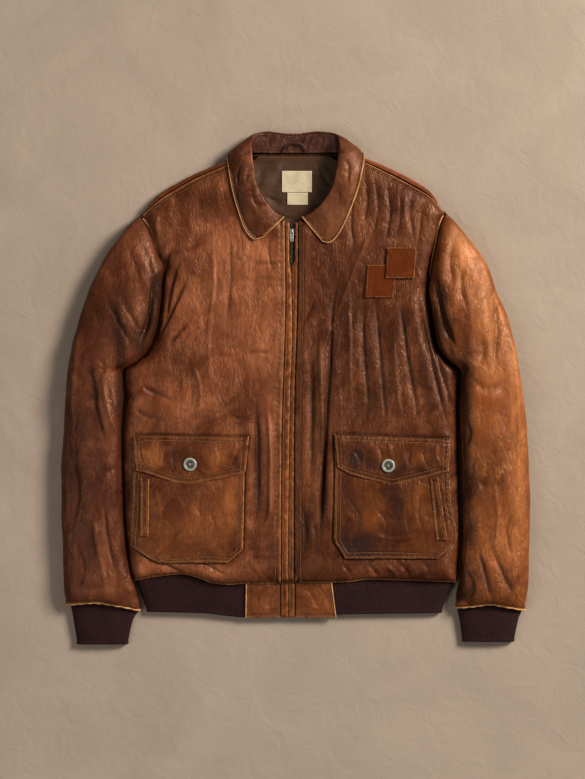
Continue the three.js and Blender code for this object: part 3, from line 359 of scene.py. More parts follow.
def buildCloth(name, form, finish, cell, facing=(0, 0, 1), columns=None, rows=None, wall="leather",
               relief=None, spots=(), tube=False, worn=("low", "high", "first", "last")):
    across = evenShares(lambda t: form(t, np.full(t.shape, 0.5)), cell, columns)
    along = evenShares(lambda t: form(np.full(t.shape, 0.5), t), cell, rows)
    u, v = np.meshgrid(across, along)
    points = form(u, v)
    normals, sign = gridNormals(points, facing, tube)
    edges = edgeDistances(points, tube)
    none = np.zeros(u.shape)
    broad, fine, lines = relief(points, normals, edges) if relief else (none, none, none)
    points = points + normals * (broad + fine)[..., None]
    points[..., 2] = np.maximum(points[..., 2], 0)
    if tube:
        points[:, -1] = points[:, 0]
    normals = gridNormals(points, facing, tube)[0]
    uneven = 1.0
    if spots:
        uneven = np.clip(0.9 + 0.9 * rumple(points, 24, (0.7, 1.6, 1), 3, 31), 0.55, 1.6)
    values = {
        "ridge": np.clip(fine / ridgeAndRub["ridge"], -1, 1),
        "sewn": np.clip(lines + none, 0, 1),
        "edge": sum((bump(edges[side], ridgeAndRub["rub"]) for side in worn), none),
        # spots: stains and faded patches, and painted shade and highlights
        "toneAndShading": uneven * softSpots(points[..., 0], points[..., 1], spots),
    }
    bm = bmesh.new()
    bmesh.ops.create_grid(bm, x_segments=len(across) - 1, y_segments=len(along) - 1, size=0.5)
    if sign < 0:
        bmesh.ops.reverse_faces(bm, faces=bm.faces)
    for vert, place in zip(bm.verts, points.reshape(-1, 3) * mm):
        vert.co = place
    for key, numbers in values.items():
        layer = bm.verts.layers.float.new(key)
        for vert, value in zip(bm.verts, numbers.ravel()):
            vert[layer] = value
    bm.verts.index_update()
    cut = bm.loops.layers.uv.new("cut")
    places = stack(edges["first"], edges["low"]).reshape(-1, 2) * mm
    for face in bm.faces:
        face.smooth = True
        for loop in face.loops:
            loop[cut].uv = places[loop.vert.index]
    if tube:
        bmesh.ops.remove_doubles(bm, verts=bm.verts, dist=1e-6)
    obj = finished(name, meshFrom(name, bm), finish)
    thickness = obj.modifiers.new("wall", "SOLIDIFY")
    thickness.thickness = cloth[wall] * mm
    thickness.offset = -1
    piecesByName[name] = {"points": points, "normals": normals, "edges": edges}
    return obj


def addObject(name, data):
    obj = bpy.data.objects.new(name, data)
    bpy.context.scene.collection.objects.link(obj)
    return obj


def meshFrom(name, bm):
    mesh = bpy.data.meshes.new(name)
    bm.to_mesh(mesh)
    bm.free()
    return mesh


def finished(name, data, finish):  # a piece of the jacket in one of the finishes made below
    data.materials.append(finishes[finish])
    obj = addObject(name, data)
    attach(obj, "jacket")
    return obj


def standsFor(obj, node):
    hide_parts(node)


def laidAt(place, size, turned=Matrix.Identity(4)):  # places a small shape, sized in millimetres
    scaled = Matrix.Diagonal((*[length * mm for length in size], 1))
    return Matrix.Translation(Vector(place) * mm) @ turned @ scaled


# finishes: node groups for what several materials share

def setInputs(tree, node, inputs):
    for key, value in inputs.items():
        if isinstance(value, bpy.types.NodeSocket):
            tree.links.new(value, node.inputs[key])
        else:
            node.inputs[key].default_value = value


def addNode(tree, kind, inputs=None, **settings):
    node = tree.nodes.new(kind)
    for key, value in settings.items():
        setattr(node, key, value)
    setInputs(tree, node, inputs or {})
    return node


def newGroup(name, inputs, outputs):
    tree = bpy.data.node_groups.new(name, "ShaderNodeTree")
    for title, kind, value in inputs:
        socket = tree.interface.new_socket(title, in_out="INPUT", socket_type=kind)
        if value is not None:
            socket.default_value = value
    for title in outputs:
        tree.interface.new_socket(title, in_out="OUTPUT", socket_type="NodeSocketFloat")
    return tree, tree.nodes.new("NodeGroupInput").outputs, tree.nodes.new("NodeGroupOutput").inputs


def noiseAt(tree, vector, scale, detail, roughness=0.55, distortion=0.0):
    inputs = {"Vector": vector, "Scale": scale, "Detail": detail, "Roughness": roughness,
              "Distortion": distortion}
    return addNode(tree, "ShaderNodeTexNoise", inputs).outputs["Fac"]


def spread(tree, value, low, high, first=0.0, last=1.0):  # maps low..high to first..last
    inputs = {"Value": value, "From Min": low, "From Max": high, "To Min": first, "To Max": last}
    return addNode(tree, "ShaderNodeMapRange", inputs).outputs["Result"]


def sums(tree, operation, a, b, clamp=False):
    inputs = {0: a, 1: b}
    return addNode(tree, "ShaderNodeMath", inputs, operation=operation, use_clamp=clamp).outputs[0]


def times(tree, a, b, clamp=False):
    return sums(tree, "MULTIPLY", a, b, clamp)


def blendColour(tree, share, a, b):  # 6, 7 and 2 are the mix node's colour sockets
    a, b = (c if isinstance(c, bpy.types.NodeSocket) else (*c, 1) for c in (a, b))
    return addNode(tree, "ShaderNodeMix", {0: share, 6: a, 7: b}, data_type="RGBA").outputs[2]


def stretched(tree, vector, scale, turn=0.0):
    inputs = {"Vector": vector, "Scale": scale, "Rotation": (0, 0, turn)}
    return addNode(tree, "ShaderNodeMapping", inputs).outputs["Vector"]


vectorSocket = ("Vector", "NodeSocketVector", None)


def grainGroup():  # pebbled hide with fine wrinkles running through it
    tree, given, wanted = newGroup("hideGrain", [vectorSocket, ("Size", "NodeSocketFloat", 1.0)],
                                   ["Pebbles", "Wrinkles", "Cracks"])
    place = addNode(tree, "ShaderNodeVectorMath", {0: given["Vector"]}, operation="SCALE")
    tree.links.new(given["Size"], place.inputs["Scale"])
    at = place.outputs[0]
    pebble = addNode(tree, "ShaderNodeTexVoronoi", {"Vector": at, "Scale": 620.0}, feature="SMOOTH_F1")
    fine = times(tree, noiseAt(tree, at, 1400.0, 2.0), 0.4)
    tree.links.new(sums(tree, "ADD", pebble.outputs["Distance"], fine), wanted["Pebbles"])
    soft = noiseAt(tree, stretched(tree, at, (1.0, 0.34, 1.0), 0.16), 135.0, 2.0, 0.5, 0.4)
    sharp = sums(tree, "ABSOLUTE", sums(tree, "SUBTRACT", soft, 0.5), 0.0)
    tree.links.new(spread(tree, sharp, 0.0, 0.09), wanted["Wrinkles"])
    shards = addNode(tree, "ShaderNodeTexVoronoi", {"Vector": stretched(tree, at, (1, 0.45, 1), 0.4),
                     "Scale": 95.0}, feature="DISTANCE_TO_EDGE")
    tree.links.new(spread(tree, shards.outputs["Distance"], 0.0, 0.05), wanted["Cracks"])
    return tree


def mottleGroup():  # uneven dye: broad clouds, hand-sized patches and small blotches
    tree, given, wanted = newGroup("mottle", [vectorSocket], ["Clouds", "Patches", "Blotches", "Flecks"])
    for title, scale, low, high, warp in (
        ("Clouds", 5.5, 0.36, 0.66, 0.8), ("Patches", 19.0, 0.4, 0.68, 1.2),
        ("Blotches", 75.0, 0.42, 0.68, 0.6), ("Flecks", 330.0, 0.35, 0.7, 0.3),
    ):
        value = noiseAt(tree, given["Vector"], scale, 4.0, 0.6, warp)
        tree.links.new(spread(tree, value, low, high), wanted[title])
    return tree


def wornGroup():  # where the finish is rubbed through: edges and the tops of folds, broken up
    tree, given, wanted = newGroup("worn", [
        vectorSocket, ("Ridge", "NodeSocketFloat", 0.0), ("Edge", "NodeSocketFloat", 0.0),
        ("Rubbing", "NodeSocketFloat", 1.0)], ["Mask"])
    broken = spread(tree, noiseAt(tree, given["Vector"], 160.0, 5.0, 0.68, 0.5), 0.34, 0.6)
    ridge = times(tree, spread(tree, given["Ridge"], 0.4, 1.0), 0.08)
    edge = times(tree, given["Edge"], given["Rubbing"])
    both = sums(tree, "MAXIMUM", ridge, edge)
    tree.links.new(times(tree, both, broken, True), wanted["Mask"])
    return tree


def weaveGroup():  # crossing threads, "Threads" to the metre
    tree, given, wanted = newGroup("weave", [vectorSocket, ("Threads", "NodeSocketFloat", 900.0)],
                                   ["Height", "Shade"])
    waves = []
    for direction in ("X", "Y"):
        wave = addNode(tree, "ShaderNodeTexWave", {"Vector": given["Vector"], "Distortion": 0.6},
                       bands_direction=direction)
        tree.links.new(sums(tree, "DIVIDE", given["Threads"], 6.283), wave.inputs["Scale"])
        waves.append(wave.outputs["Fac"])
    tree.links.new(sums(tree, "MAXIMUM", *waves), wanted["Height"])
    tree.links.new(noiseAt(tree, given["Vector"], 60.0, 4.0), wanted["Shade"])
    return tree


groups = {"grain": grainGroup(), "mottle": mottleGroup(), "worn": wornGroup(), "weave": weaveGroup()}


def useGroup(tree, name, inputs):
    return addNode(tree, "ShaderNodeGroup", inputs, node_tree=groups[name]).outputs


def newMaterial(name, roughness, specular=0.5):
    material = bpy.data.materials.new(name)
    material.use_nodes = True
    tree = material.node_tree
    shader = tree.nodes["Principled BSDF"]
    setInputs(tree, shader, {"Roughness": roughness, "Specular IOR Level": specular})
    place = addNode(tree, "ShaderNodeTexCoord").outputs["Object"]
    return material, tree, shader, place


def attribute(tree, name):
    return addNode(tree, "ShaderNodeAttribute", attribute_name=name).outputs["Fac"]


def bumpOf(tree, height, depth, strength, under=None):
    inputs = {"Height": height, "Distance": depth, "Strength": strength}
    if under:
        inputs["Normal"] = under
    return addNode(tree, "ShaderNodeBump", inputs).outputs["Normal"]


def leatherMaterial(name, look):
    material, tree, shader, place = newMaterial(name, 0.42, look["specular"])
    dye = useGroup(tree, "mottle", {"Vector": place})
    hide = useGroup(tree, "grain", {"Vector": place, "Size": look["grainSize"]})
    ridge, edge, toneAndShading, sewn = (attribute(tree, key) for key in ("ridge", "edge", "toneAndShading", "sewn"))
    worn = useGroup(tree, "worn", {"Vector": place, "Ridge": ridge, "Edge": edge,
                                   "Rubbing": look["rubbing"]})["Mask"]
    # the darkest spots: near-black painted shade in deep folds, the armhole trench and under the collar,
    # and the cores of dark stains; also made rougher
    hollowShadeAndStain = spread(tree, toneAndShading, -2.0, -0.9, 0.92, 0.0)
    smoothed = spread(tree, dye["Patches"], 0.0, 0.8, 0.8, 0.0)
    creased = sums(tree, "MAXIMUM", hide["Wrinkles"], smoothed)
    layers = [
        (times(tree, dye["Patches"], 0.72), "light"),
        (times(tree, dye["Blotches"], look["stained"]), "stain"),
        # lighter spots: faded patches, and painted highlights and sheen on lit folds
        (times(tree, toneAndShading, 1.0, True), "light"),
        # darker spots: stains, and painted shade in folds and hollows
        (times(tree, toneAndShading, -1.0, True), "stainAndShade"),
        # near-black painted shade, and dark stain cores
        (hollowShadeAndStain, "shade"),
        # painted shade in the valleys of folds
        (times(tree, spread(tree, ridge, -1.0, -0.2, 1.0, 0.0), 0.62), "shade"),  # valleys
        # painted shade along the fine wrinkle lines
        (times(tree, spread(tree, creased, 0.0, 0.8, 0.42, 0.0), look["wrinkled"]), "shade"),
        # painted shade in stitch grooves and along seams where pieces meet
        (times(tree, sewn, 0.85), "shade"),
        (times(tree, dye["Flecks"], 0.16), "light"),
        (times(tree, worn, look["worn"]), "bare"),
    ]
    colour = blendColour(tree, dye["Clouds"], look["deep"], look["middle"])
    for share, tint in layers:
        colour = blendColour(tree, share, colour, look[tint])
    gloss = spread(tree, dye["Blotches"], 0.0, 1.0, *look["gloss"])
    gloss = sums(tree, "ADD", gloss, times(tree, worn, 0.15))
    gloss = sums(tree, "ADD", gloss, times(tree, hollowShadeAndStain, 0.4), True)
    normal = bumpOf(tree, creased, 0.0007, 0.6 * look["wrinkled"])
    normal = bumpOf(tree, hide["Cracks"], 0.0004, 0.25 * look["wrinkled"], normal)
    normal = bumpOf(tree, hide["Pebbles"], 0.00018, 0.6, normal)
    setInputs(tree, shader, {"Base Color": colour, "Roughness": gloss, "Normal": normal,
                             "Specular Tint": (*look["glare"], 1)})
    return material


# the light colours serve paler patches and painted highlights; the darkest colours paint shade and the
# cores of stains
bodyLook = {  # linear colours
    "deep": (0.055, 0.011, 0.0024), "middle": (0.135, 0.032, 0.007), "light": (0.25, 0.078, 0.019),
    "stain": (0.07, 0.018, 0.016), "shade": (0.01, 0.0035, 0.0024), "bare": (0.56, 0.29, 0.115),
    "stainAndShade": (0.034, 0.009, 0.0032), "specular": 0.3, "grainSize": 1.0, "rubbing": 1.0,
    "stained": 0.3, "worn": 0.95, "gloss": (0.38, 0.54), "wrinkled": 1.0, "glare": (1.0, 0.64, 0.46),
}
leathers = {
    "body": bodyLook,
    "rightFront": {**bodyLook, "deep": (0.0378, 0.0083, 0.0019), "middle": (0.101, 0.0252, 0.0056),
                   "light": (0.261, 0.0936, 0.0396)},
    "leftFront": {**bodyLook, "deep": (0.0224, 0.0045, 0.001), "middle": (0.0496, 0.0116, 0.0024),
                  "light": (0.164, 0.0568, 0.0216)},
    "rightPocket": {**bodyLook, "deep": (0.0387, 0.0084, 0.0018), "middle": (0.0739, 0.0185, 0.0039),
                    "light": (0.205, 0.07, 0.022), "wrinkled": 0.85, "rubbing": 0.9,
                    "bare": (0.42, 0.18, 0.058)},
    "leftPocket": {**bodyLook, "deep": (0.0218, 0.0047, 0.0009), "middle": (0.042, 0.0101, 0.0018),
                   "light": (0.135, 0.042, 0.01), "wrinkled": 0.85, "rubbing": 0.85,
                   "bare": (0.36, 0.15, 0.05),
                   "stainAndShade": (0.018, 0.0075, 0.008), "shade": (0.0095, 0.0045, 0.0055)},
    "rightSleeve": {**bodyLook, "deep": (0.0327, 0.0069, 0.0022), "middle": (0.0757, 0.0181, 0.0052),
                    "light": (0.172, 0.0602, 0.0249), "stained": 0.5},
    "leftSleeve": {**bodyLook, "deep": (0.056, 0.013, 0.0031), "middle": (0.145, 0.042, 0.01),
                   "light": (0.292, 0.107, 0.0335)},
    "strap": {**bodyLook, "deep": (0.1, 0.024, 0.006), "middle": (0.22, 0.056, 0.014),
              "light": (0.32, 0.1, 0.03), "wrinkled": 0.5},
    "collar": {**bodyLook, "deep": (0.0319, 0.0067, 0.002), "middle": (0.0622, 0.016, 0.004),
               "light": (0.168, 0.063, 0.0269), "rubbing": 1.2, "wrinkled": 0.7},
    "welt": {**bodyLook, "rubbing": 0.9, "deep": (0.04, 0.01, 0.003), "middle": (0.095, 0.026, 0.0075),
             "bare": (0.34, 0.14, 0.042)},
    "collarStand": {**bodyLook, "deep": (0.02, 0.007, 0.005), "middle": (0.048, 0.018, 0.012),
                    "light": (0.09, 0.038, 0.026), "worn": 0.5},
    "patch": {**bodyLook, "deep": (0.05, 0.0085, 0.001), "middle": (0.084, 0.016, 0.002),
              "light": (0.13, 0.034, 0.006), "stained": 0.35, "gloss": (0.65, 0.75), "wrinkled": 0.4,
              "rubbing": 0.3, "specular": 0.12},
    "piping": {**bodyLook, "deep": (0.28, 0.11, 0.034), "middle": (0.44, 0.22, 0.08),
               "light": (0.62, 0.37, 0.16), "stained": 0.2, "grainSize": 1.6, "wrinkled": 0.4},
    "seam": {**bodyLook, "deep": (0.15, 0.05, 0.015), "middle": (0.3, 0.12, 0.04),
             "light": (0.45, 0.21, 0.085), "stained": 0.2, "grainSize": 1.6, "wrinkled": 0.4},
}
finishes = {name: leatherMaterial(name + "Leather", look) for name, look in leathers.items()}


def knitMaterial(name, look):
    material, tree, shader, place = newMaterial(name, 0.92, 0.2)
    dye = useGroup(tree, "mottle", {"Vector": place})
    ridge = attribute(tree, "ridge")
    # darker in the valleys between ribs and lighter on their tops: painted shade and light
    colour = blendColour(tree, spread(tree, ridge, -0.4, 0.4), look["valley"], look["rib"])
    colour = blendColour(tree, times(tree, dye["Patches"], 0.4), colour, look["faded"])
    colour = blendColour(tree, times(tree, dye["Flecks"], 0.3), colour, look["lint"])
    squashed = stretched(tree, place, (1, 0.6, 1))
    loops = addNode(tree, "ShaderNodeTexVoronoi", {"Vector": squashed, "Scale": 1100.0})
    normal = bumpOf(tree, loops.outputs["Distance"], 0.0006, 0.8)
    setInputs(tree, shader, {"Base Color": colour, "Normal": normal, "Sheen Weight": 0.06,
                             "Sheen Roughness": 0.5})
    return material


def clothMaterial(name, look):
    material, tree, shader, place = newMaterial(name, look["roughness"], 0.2)
    threads = useGroup(tree, "weave", {"Vector": place, "Threads": look["threads"]})
    dye = useGroup(tree, "mottle", {"Vector": place})
    colour = blendColour(tree, threads["Shade"], look["dark"], look["pale"])
    colour = blendColour(tree, times(tree, dye["Blotches"], look["dirt"]), colour, look["dark"])
    colour = blendColour(tree, times(tree, attribute(tree, "edge"), 0.4), colour, look["edge"])
    normal = bumpOf(tree, threads["Height"], look["depth"], 0.7)
    setInputs(tree, shader, {"Base Color": colour, "Normal": normal})
    return material


def metalMaterial(name, look):
    material, tree, shader, place = newMaterial(name, look["roughness"])
    dye = useGroup(tree, "mottle", {"Vector": place})
    colour = blendColour(tree, dye["Flecks"], look["bright"], look["dull"])
    scratches = noiseAt(tree, stretched(tree, place, (1, 0.12, 1), 0.3), 2500.0, 3.0)
    setInputs(tree, shader, {"Base Color": colour, "Metallic": 1.0,
                             "Roughness": spread(tree, scratches, 0.3, 0.7, 0.18, 0.42),
                             "Normal": bumpOf(tree, scratches, 0.00005, 0.5)})
    return material


def buttonMaterial(name, look):
    material, tree, shader, place = newMaterial(name, 0.3, 0.3)
    swirl = noiseAt(tree, stretched(tree, place, (1, 0.4, 1), 0.6), 240.0, 4.0, 0.6, 1.5)
    colour = blendColour(tree, spread(tree, swirl, 0.35, 0.65), look["dark"], look["pale"])
    colour = blendColour(tree, attribute(tree, "edge"), colour, look["rim"])
    setInputs(tree, shader, {"Base Color": colour, "Normal": bumpOf(tree, swirl, 0.0001, 0.4),
                             "Roughness": spread(tree, swirl, 0.3, 0.7, 0.22, 0.42)})
    return material


finishes["knit"] = knitMaterial("ribKnit", {
    "valley": (0.007, 0.002, 0.002), "rib": (0.026, 0.0068, 0.0062), "faded": (0.034, 0.0105, 0.0092),
    "lint": (0.045, 0.019, 0.017)})
finishes["lining"] = clothMaterial("satinLining", {
    "dark": (0.032, 0.014, 0.0055), "pale": (0.082, 0.038, 0.017), "edge": (0.06, 0.03, 0.015),
    "threads": 4200.0, "depth": 0.00006, "roughness": 0.5, "dirt": 0.3})
finishes["label"] = clothMaterial("labelTape", {
    "dark": (0.32, 0.25, 0.15), "pale": (0.47, 0.4, 0.27), "edge": (0.5, 0.43, 0.31),
    "threads": 2600.0, "depth": 0.00012, "roughness": 0.85, "dirt": 0.4})
finishes["tape"] = clothMaterial("zipTape", {
    "dark": (0.012, 0.008, 0.007), "pale": (0.032, 0.02, 0.016), "edge": (0.04, 0.03, 0.02),
    "threads": 2200.0, "depth": 0.00015, "roughness": 0.85, "dirt": 0.3})
finishes["thread"] = clothMaterial("waxedThread", {
    "dark": (0.2, 0.085, 0.03), "pale": (0.44, 0.24, 0.1), "edge": (0.3, 0.15, 0.06),
    "threads": 5000.0, "depth": 0.00005, "roughness": 0.8, "dirt": 0.5})
finishes["knot"] = clothMaterial("buttonThread", {
    "dark": (0.2, 0.15, 0.1), "pale": (0.44, 0.36, 0.26), "edge": (0.3, 0.24, 0.18),
    "threads": 5000.0, "depth": 0.00005, "roughness": 0.8, "dirt": 0.3})
finishes["metal"] = metalMaterial("wornNickel", {
    "bright": (0.72, 0.7, 0.64), "dull": (0.42, 0.4, 0.35), "roughness": 0.3})
finishes["teeth"] = metalMaterial("oldBrass", {
    "bright": (0.42, 0.33, 0.2), "dull": (0.16, 0.11, 0.07), "roughness": 0.4})
finishes["button"] = buttonMaterial("greyHorn", {
    "dark": (0.02, 0.02, 0.015), "pale": (0.085, 0.084, 0.066), "rim": (0.24, 0.235, 0.19)})
print("finishes made")


# how the cloth is worked: sewn edges, folds and soft rumpling

def turnedEdge(away, rows=(4.0,), fold=0.6, groove=0.6):  # a folded edge held by rows of stitches
    relief = fold * bump(away - 1.8, 1.8)
    for inset in rows:
        relief = relief - groove * bump(away - inset, 1.2)
        relief = relief + 0.35 * groove * bump(away - inset - 3, 2.2)
    return relief


# the mask made here paints shade into stitch grooves and along seams
def sewnLines(away, rows, width=1.0):  # where the rows of stitches pull the leather in
    return sum(bump(away - inset, width) for inset in rows)


def pucker(along, away, inset, pitch, depth):  # small cross waves that stitching draws up
    return depth * np.sin(2 * np.pi * along / pitch) * bump(away - inset, 3.5)


frontCreases = {
    "right": [
        (-3.2, 4.7, [(-170, 192), (-182, 145), (-192, 98)]),
        (-3.0, 4.7, [(-156, 168), (-174, 128), (-200, 78)]),
        (-2.4, 4.7, [(-153, 100), (-168, 84), (-186, 62)]),
        (-2.2, 3.9, [(-176, 214), (-186, 196), (-188, 172)]),
        (2.2, 6.2, [(-201, 262), (-203, 244), (-199, 226)]),
        (-1.5, 3, [(-14, 187), (-40, 185), (-66, 188)]),
        (-1.2, 3, [(-20, 160), (-52, 163), (-86, 158)]),
        (-1.6, 3, [(-30, 50), (-56, 53), (-82, 47)]),
        (-1.4, 3, [(-62, -44), (-78, -47), (-92, -42)]),
        (4.2, 7, [(-40, -16), (-34, -70), (-33, -140), (-36, -196), (-56, -232)]),
        (-3.2, 6.2, [(-54, -14), (-52, -90), (-52, -190)]),
        (-2.4, 4.7, [(-22, -40), (-20, -130), (-24, -220)]),
        (1.8, 7.8, [(-120, 230), (-118, 150), (-126, 70), (-122, 0)]),
        (-1.6, 7, [(-96, 240), (-92, 170), (-100, 90)]),
        (-1.7, 6.2, [(-232, 8), (-205, -8), (-170, -20)]),
        (-1.8, 5.5, [(-240, -30), (-214, -44), (-186, -48)]),
        (1.6, 6.2, [(-150, 40), (-138, -6), (-146, -52)]),
        (-1.8, 4.7, [(-208, -256), (-186, -266), (-160, -278)]),
        (-1.8, 4.7, [(-140, -256), (-118, -270), (-94, -284)]),
        (-1.4, 4.7, [(-30, 236), (-36, 205), (-28, 172)]),
        (-1.2, 3.9, [(-62, 262), (-58, 236), (-66, 205)]),
    ],
    "left": [
        (-3.4, 5.2, [(71, 172), (60, 120), (58, 70), (53, -20), (46, -130), (38, -256)]),
        (-2.6, 3.7, [(50, -60), (47, -130), (42, -220)]),
        (-1.8, 3, [(112, -262), (122, -272), (130, -284)]),
        (1.6, 3, [(138, -264), (150, -272), (160, -284)]),
        (-1.8, 3, [(160, -262), (172, -274), (176, -286)]),
        (-1.5, 3, [(196, -262), (204, -272), (206, -286)]),
        (-1.4, 3, [(74, -264), (86, -276), (92, -288)]),
        (3.6, 6.7, [(40, 90), (44, -20), (45, -80), (38, -190)]),
        (-2.4, 4.4, [(28, 60), (30, -20), (27, -150)]),
        (-2.6, 5.2, [(108, 140), (106, 70), (113, -20), (108, -60)]),
        (-2.4, 5.2, [(124, 134), (132, 40), (140, -62)]),
        (-2.8, 5.2, [(160, 134), (172, 50), (188, -46)]),
        (-3.0, 5.2, [(186, 150), (206, 50), (233, -62)]),
        (-2.4, 4.4, [(210, 66), (224, 20), (245, -46)]),
        (1.9, 5.9, [(84, 150), (86, 60), (88, -40)]),
        (1.8, 5.9, [(150, 90), (156, 10), (164, -58)]),
        (-1.8, 3.7, [(11, 90), (22, 108), (34, 134)]),
        (-2.0, 3.7, [(13, -165), (20, -215), (14, -262)]),
        (-1.6, 3.7, [(30, -190), (36, -230), (32, -262)]),
        (-1.5, 3.7, [(108, 322), (112, 285), (106, 240)]),
        (-1.5, 3.7, [(124, 314), (128, 268), (121, 228)]),
        (-1.6, 3.7, [(142, 308), (146, 262), (138, 216)]),
        (-1.5, 3.7, [(160, 300), (162, 262), (156, 226)]),
        (-1.5, 3.7, [(178, 290), (176, 258), (182, 222)]),
        (-1.6, 3.7, [(194, 278), (192, 246), (188, 214)]),
        (-1.7, 4.4, [(92, 300), (88, 250), (94, 200)]),
        (-2.0, 4.4, [(206, 178), (212, 158), (219, 138)]),
        (1.6, 6.7, [(122, 250), (70, 120), (30, 20)]),
    ],
}
sleeveCreases = {
    "right": [
        (-7.5, 12, [(-198, 176), (-206, 140), (-214, 100), (-230, 62)]),
        (2.4, 9, [(-284, 20), (-276, -30), (-260, -80)]),
        (-2.2, 9, [(-300, 26), (-292, -34), (-276, -92)]),
        (2.4, 8, [(-298, -180), (-290, -240), (-276, -306)]),
        (-2.8, 7, [(-282, -160), (-276, -220), (-264, -280)]),
        (-3.0, 6, [(-276, 134), (-258, 98), (-238, 62)]),
        (-2.6, 6, [(-262, 146), (-246, 118), (-228, 84)]),
        (-2.6, 5, [(-292, 52), (-281, 32), (-290, 10)]),
        (-2.8, 6, [(-228, 224), (-214, 190), (-206, 140)]),
        (-2.4, 6, [(-244, 214), (-232, 178), (-222, 130)]),
        (2.4, 9, [(-318, 100), (-326, 20), (-330, -70)]),
        (-1.8, 9, [(-330, -100), (-320, -150), (-330, -210)]),
        (-2.0, 7, [(-262, -118), (-286, -128), (-312, -120)]),
        (-2.0, 7, [(-258, -300), (-284, -296), (-318, -304)]),
        (-1.8, 6, [(-330, -230), (-312, -262), (-322, -310)]),
    ],
    "left": [
        (-7.0, 11, [(212, 172), (218, 130), (228, 92), (244, 58)]),
        (-3.0, 10, [(282, 74), (286, 56), (281, 40)]),
        (-2.4, 9, [(258, -50), (264, -68), (258, -86)]),
        (-3.2, 7, [(276, -238), (288, -280), (297, -320)]),
        (-3.2, 7, [(294, -232), (312, -272), (335, -318)]),
        (2.6, 9, [(318, 120), (332, 40), (338, -60), (336, -150)]),
        (-2.6, 8, [(300, 150), (306, 90), (300, 30)]),
        (-2.6, 6, [(240, 222), (236, 186), (240, 150)]),
        (-2.4, 6, [(258, 190), (252, 150), (262, 112)]),
        (-2.2, 7, [(262, 20), (288, 0), (318, 8)]),
        (-2.0, 7, [(268, -130), (292, -146), (322, -136)]),
        (2.4, 8, [(302, -150), (306, -200), (300, -250)]),
        (-1.9, 6, [(258, -270), (270, -296), (262, -322)]),
        (-2.0, 7, [(330, -180), (320, -215), (328, -256)]),
    ],
}
backCreases = [
    (-2.0, 9, [(-150, 210), (-80, 190), (0, 204), (90, 188), (160, 206)]),
    (-1.8, 9, [(-170, 60), (-90, 40), (-10, 52)]),
    (-1.8, 9, [(20, -40), (100, -56), (180, -36)]),
    (-1.8, 8, [(-60, 120), (-40, 0), (-64, -140)]),
    (-1.8, 8, [(90, 130), (110, 10), (96, -120)]),
]


# inner, outer, bottom and top of what lies on a front, and how wide its border fades
coverPlan = {"pocket": (66, 240, -258, -66), "patches": (106, 188, 132, 213), "fade": 8}


def covered(half, out, y):  # 1 where a pocket, flap or patch lies on the front
    def inside(low, high, bottom, top):
        sides = (out - low, high - out, y - bottom, top - y)
        return math.prod(smooth(away / coverPlan["fade"]) for away in sides)

    cover = inside(*coverPlan["pocket"])
    if half["name"] == "left":
        cover = np.maximum(cover, inside(*coverPlan["patches"]))
    return cover


def pocketOutline(half):
    inner = [(out, y) for y, out in half["pocketInner"]]
    outer = [(out, y) for y, out in half["pocketOuter"]]
    return [*half["flapTop"], *outer[::-1], *inner, half["flapTop"][0]]


def frontRelief(half):
    def relief(points, normals, edges):
        x, y = points[..., 0], points[..., 1]
        free = (1 - covered(half, np.abs(x), y)) * smooth(edges["any"] / 9)
        folds = creaseRelief(x, y, frontCreases[half["name"]])
        waves = 2.2 * rumple(points, 52, (0.6, 1.9, 1), 2, half["sign"])
        pleated = smooth((y - 36) / 30) * smooth((188 - y) / 30) * smooth(edges["last"] / 1.5)
        pleats = pleated * (1.5 * bump(edges["last"] - 4, 2.2) - 1.2 * bump(edges["last"] - 8.5, 2.0))
        small = 0.35 * folded(points, 19, (0.55, 2.4, 1), 3, 5 + half["sign"])
        sewn = turnedEdge(edges["high"], (3.6, 8.5)) + turnedEdge(edges["first"], (9.0,), 0.9, 0.8)
        hem = turnedEdge(edges["low"], (4.0,))
        puckers = pucker(x, edges["high"], 5, 8, 0.25) + pucker(y, edges["first"], 9, 9, 0.2)
        puckers = puckers + pucker(x, edges["low"], 4, 10, 0.5)
        outline = [(half["sign"] * a, b) for a, b in pocketOutline(half)]
        beside = -1.2 * bump(nearPath(x, y, outline, False)[0], 2.4)
        lines = sewnLines(edges["high"], (3.6, 8.5), 1.3) + sewnLines(edges["first"], (9.0,), 1.4)
        # painted shadow along the outside of the pocket's outline
        lines = lines + sewnLines(edges["low"], (4.0,), 1.3) - 0.6 * beside
        fine = free * (folds + small) + pleats + sewn + hem + puckers + beside
        return free * (0.35 * folds + waves), fine, lines

    return relief


def sleeveRelief(half):
    creases = sleeveCreases[half["name"]]

    def relief(points, normals, edges):
        x, y = points[..., 0], points[..., 1]
        up = smooth((normals[..., 2] + 0.3) / 0.5)
        front = creaseRelief(x, y, creases)
        back = creaseRelief(x, y + 14, creases)
        waves = 2.4 * rumple(points, 52, (0.8, 1.5, 1), 2, 9 * half["sign"])
        small = 0.45 * folded(points, 22, (0.7, 1.9, 1), 3, 3 * half["sign"])
        free = smooth(edges["low"] / 16) * smooth(edges["high"] / 10)
        free = free * (1 - 0.6 * bump(np.hypot(x - 272, y - 217), 34))  # the outline runs smooth here
        gathered = pucker(x + 0.3 * y, edges["high"], 3, 13, 0.9) * up
        sewn = turnedEdge(edges["low"], (3.6,), 0.5, 0.4) * up
        inner = smooth((np.abs(x) - half["sideAt"](y) - 2) / 9)  # stays clear of the body beside it
        folds = mix(0.6 * back, front, up)
        fine = free * inner * (0.7 * folds + small) + gathered + sewn
        # the sewn mask starts at the armhole seam itself: painted shade in the trench beside the body
        return free * inner * (0.6 * folds + waves), fine, up * sewnLines(edges["low"], (0.0, 3.6), 1.2)

    return relief


# fronts and back

underFall = {"from": 300, "halfWidth": 136, "fade": 22}


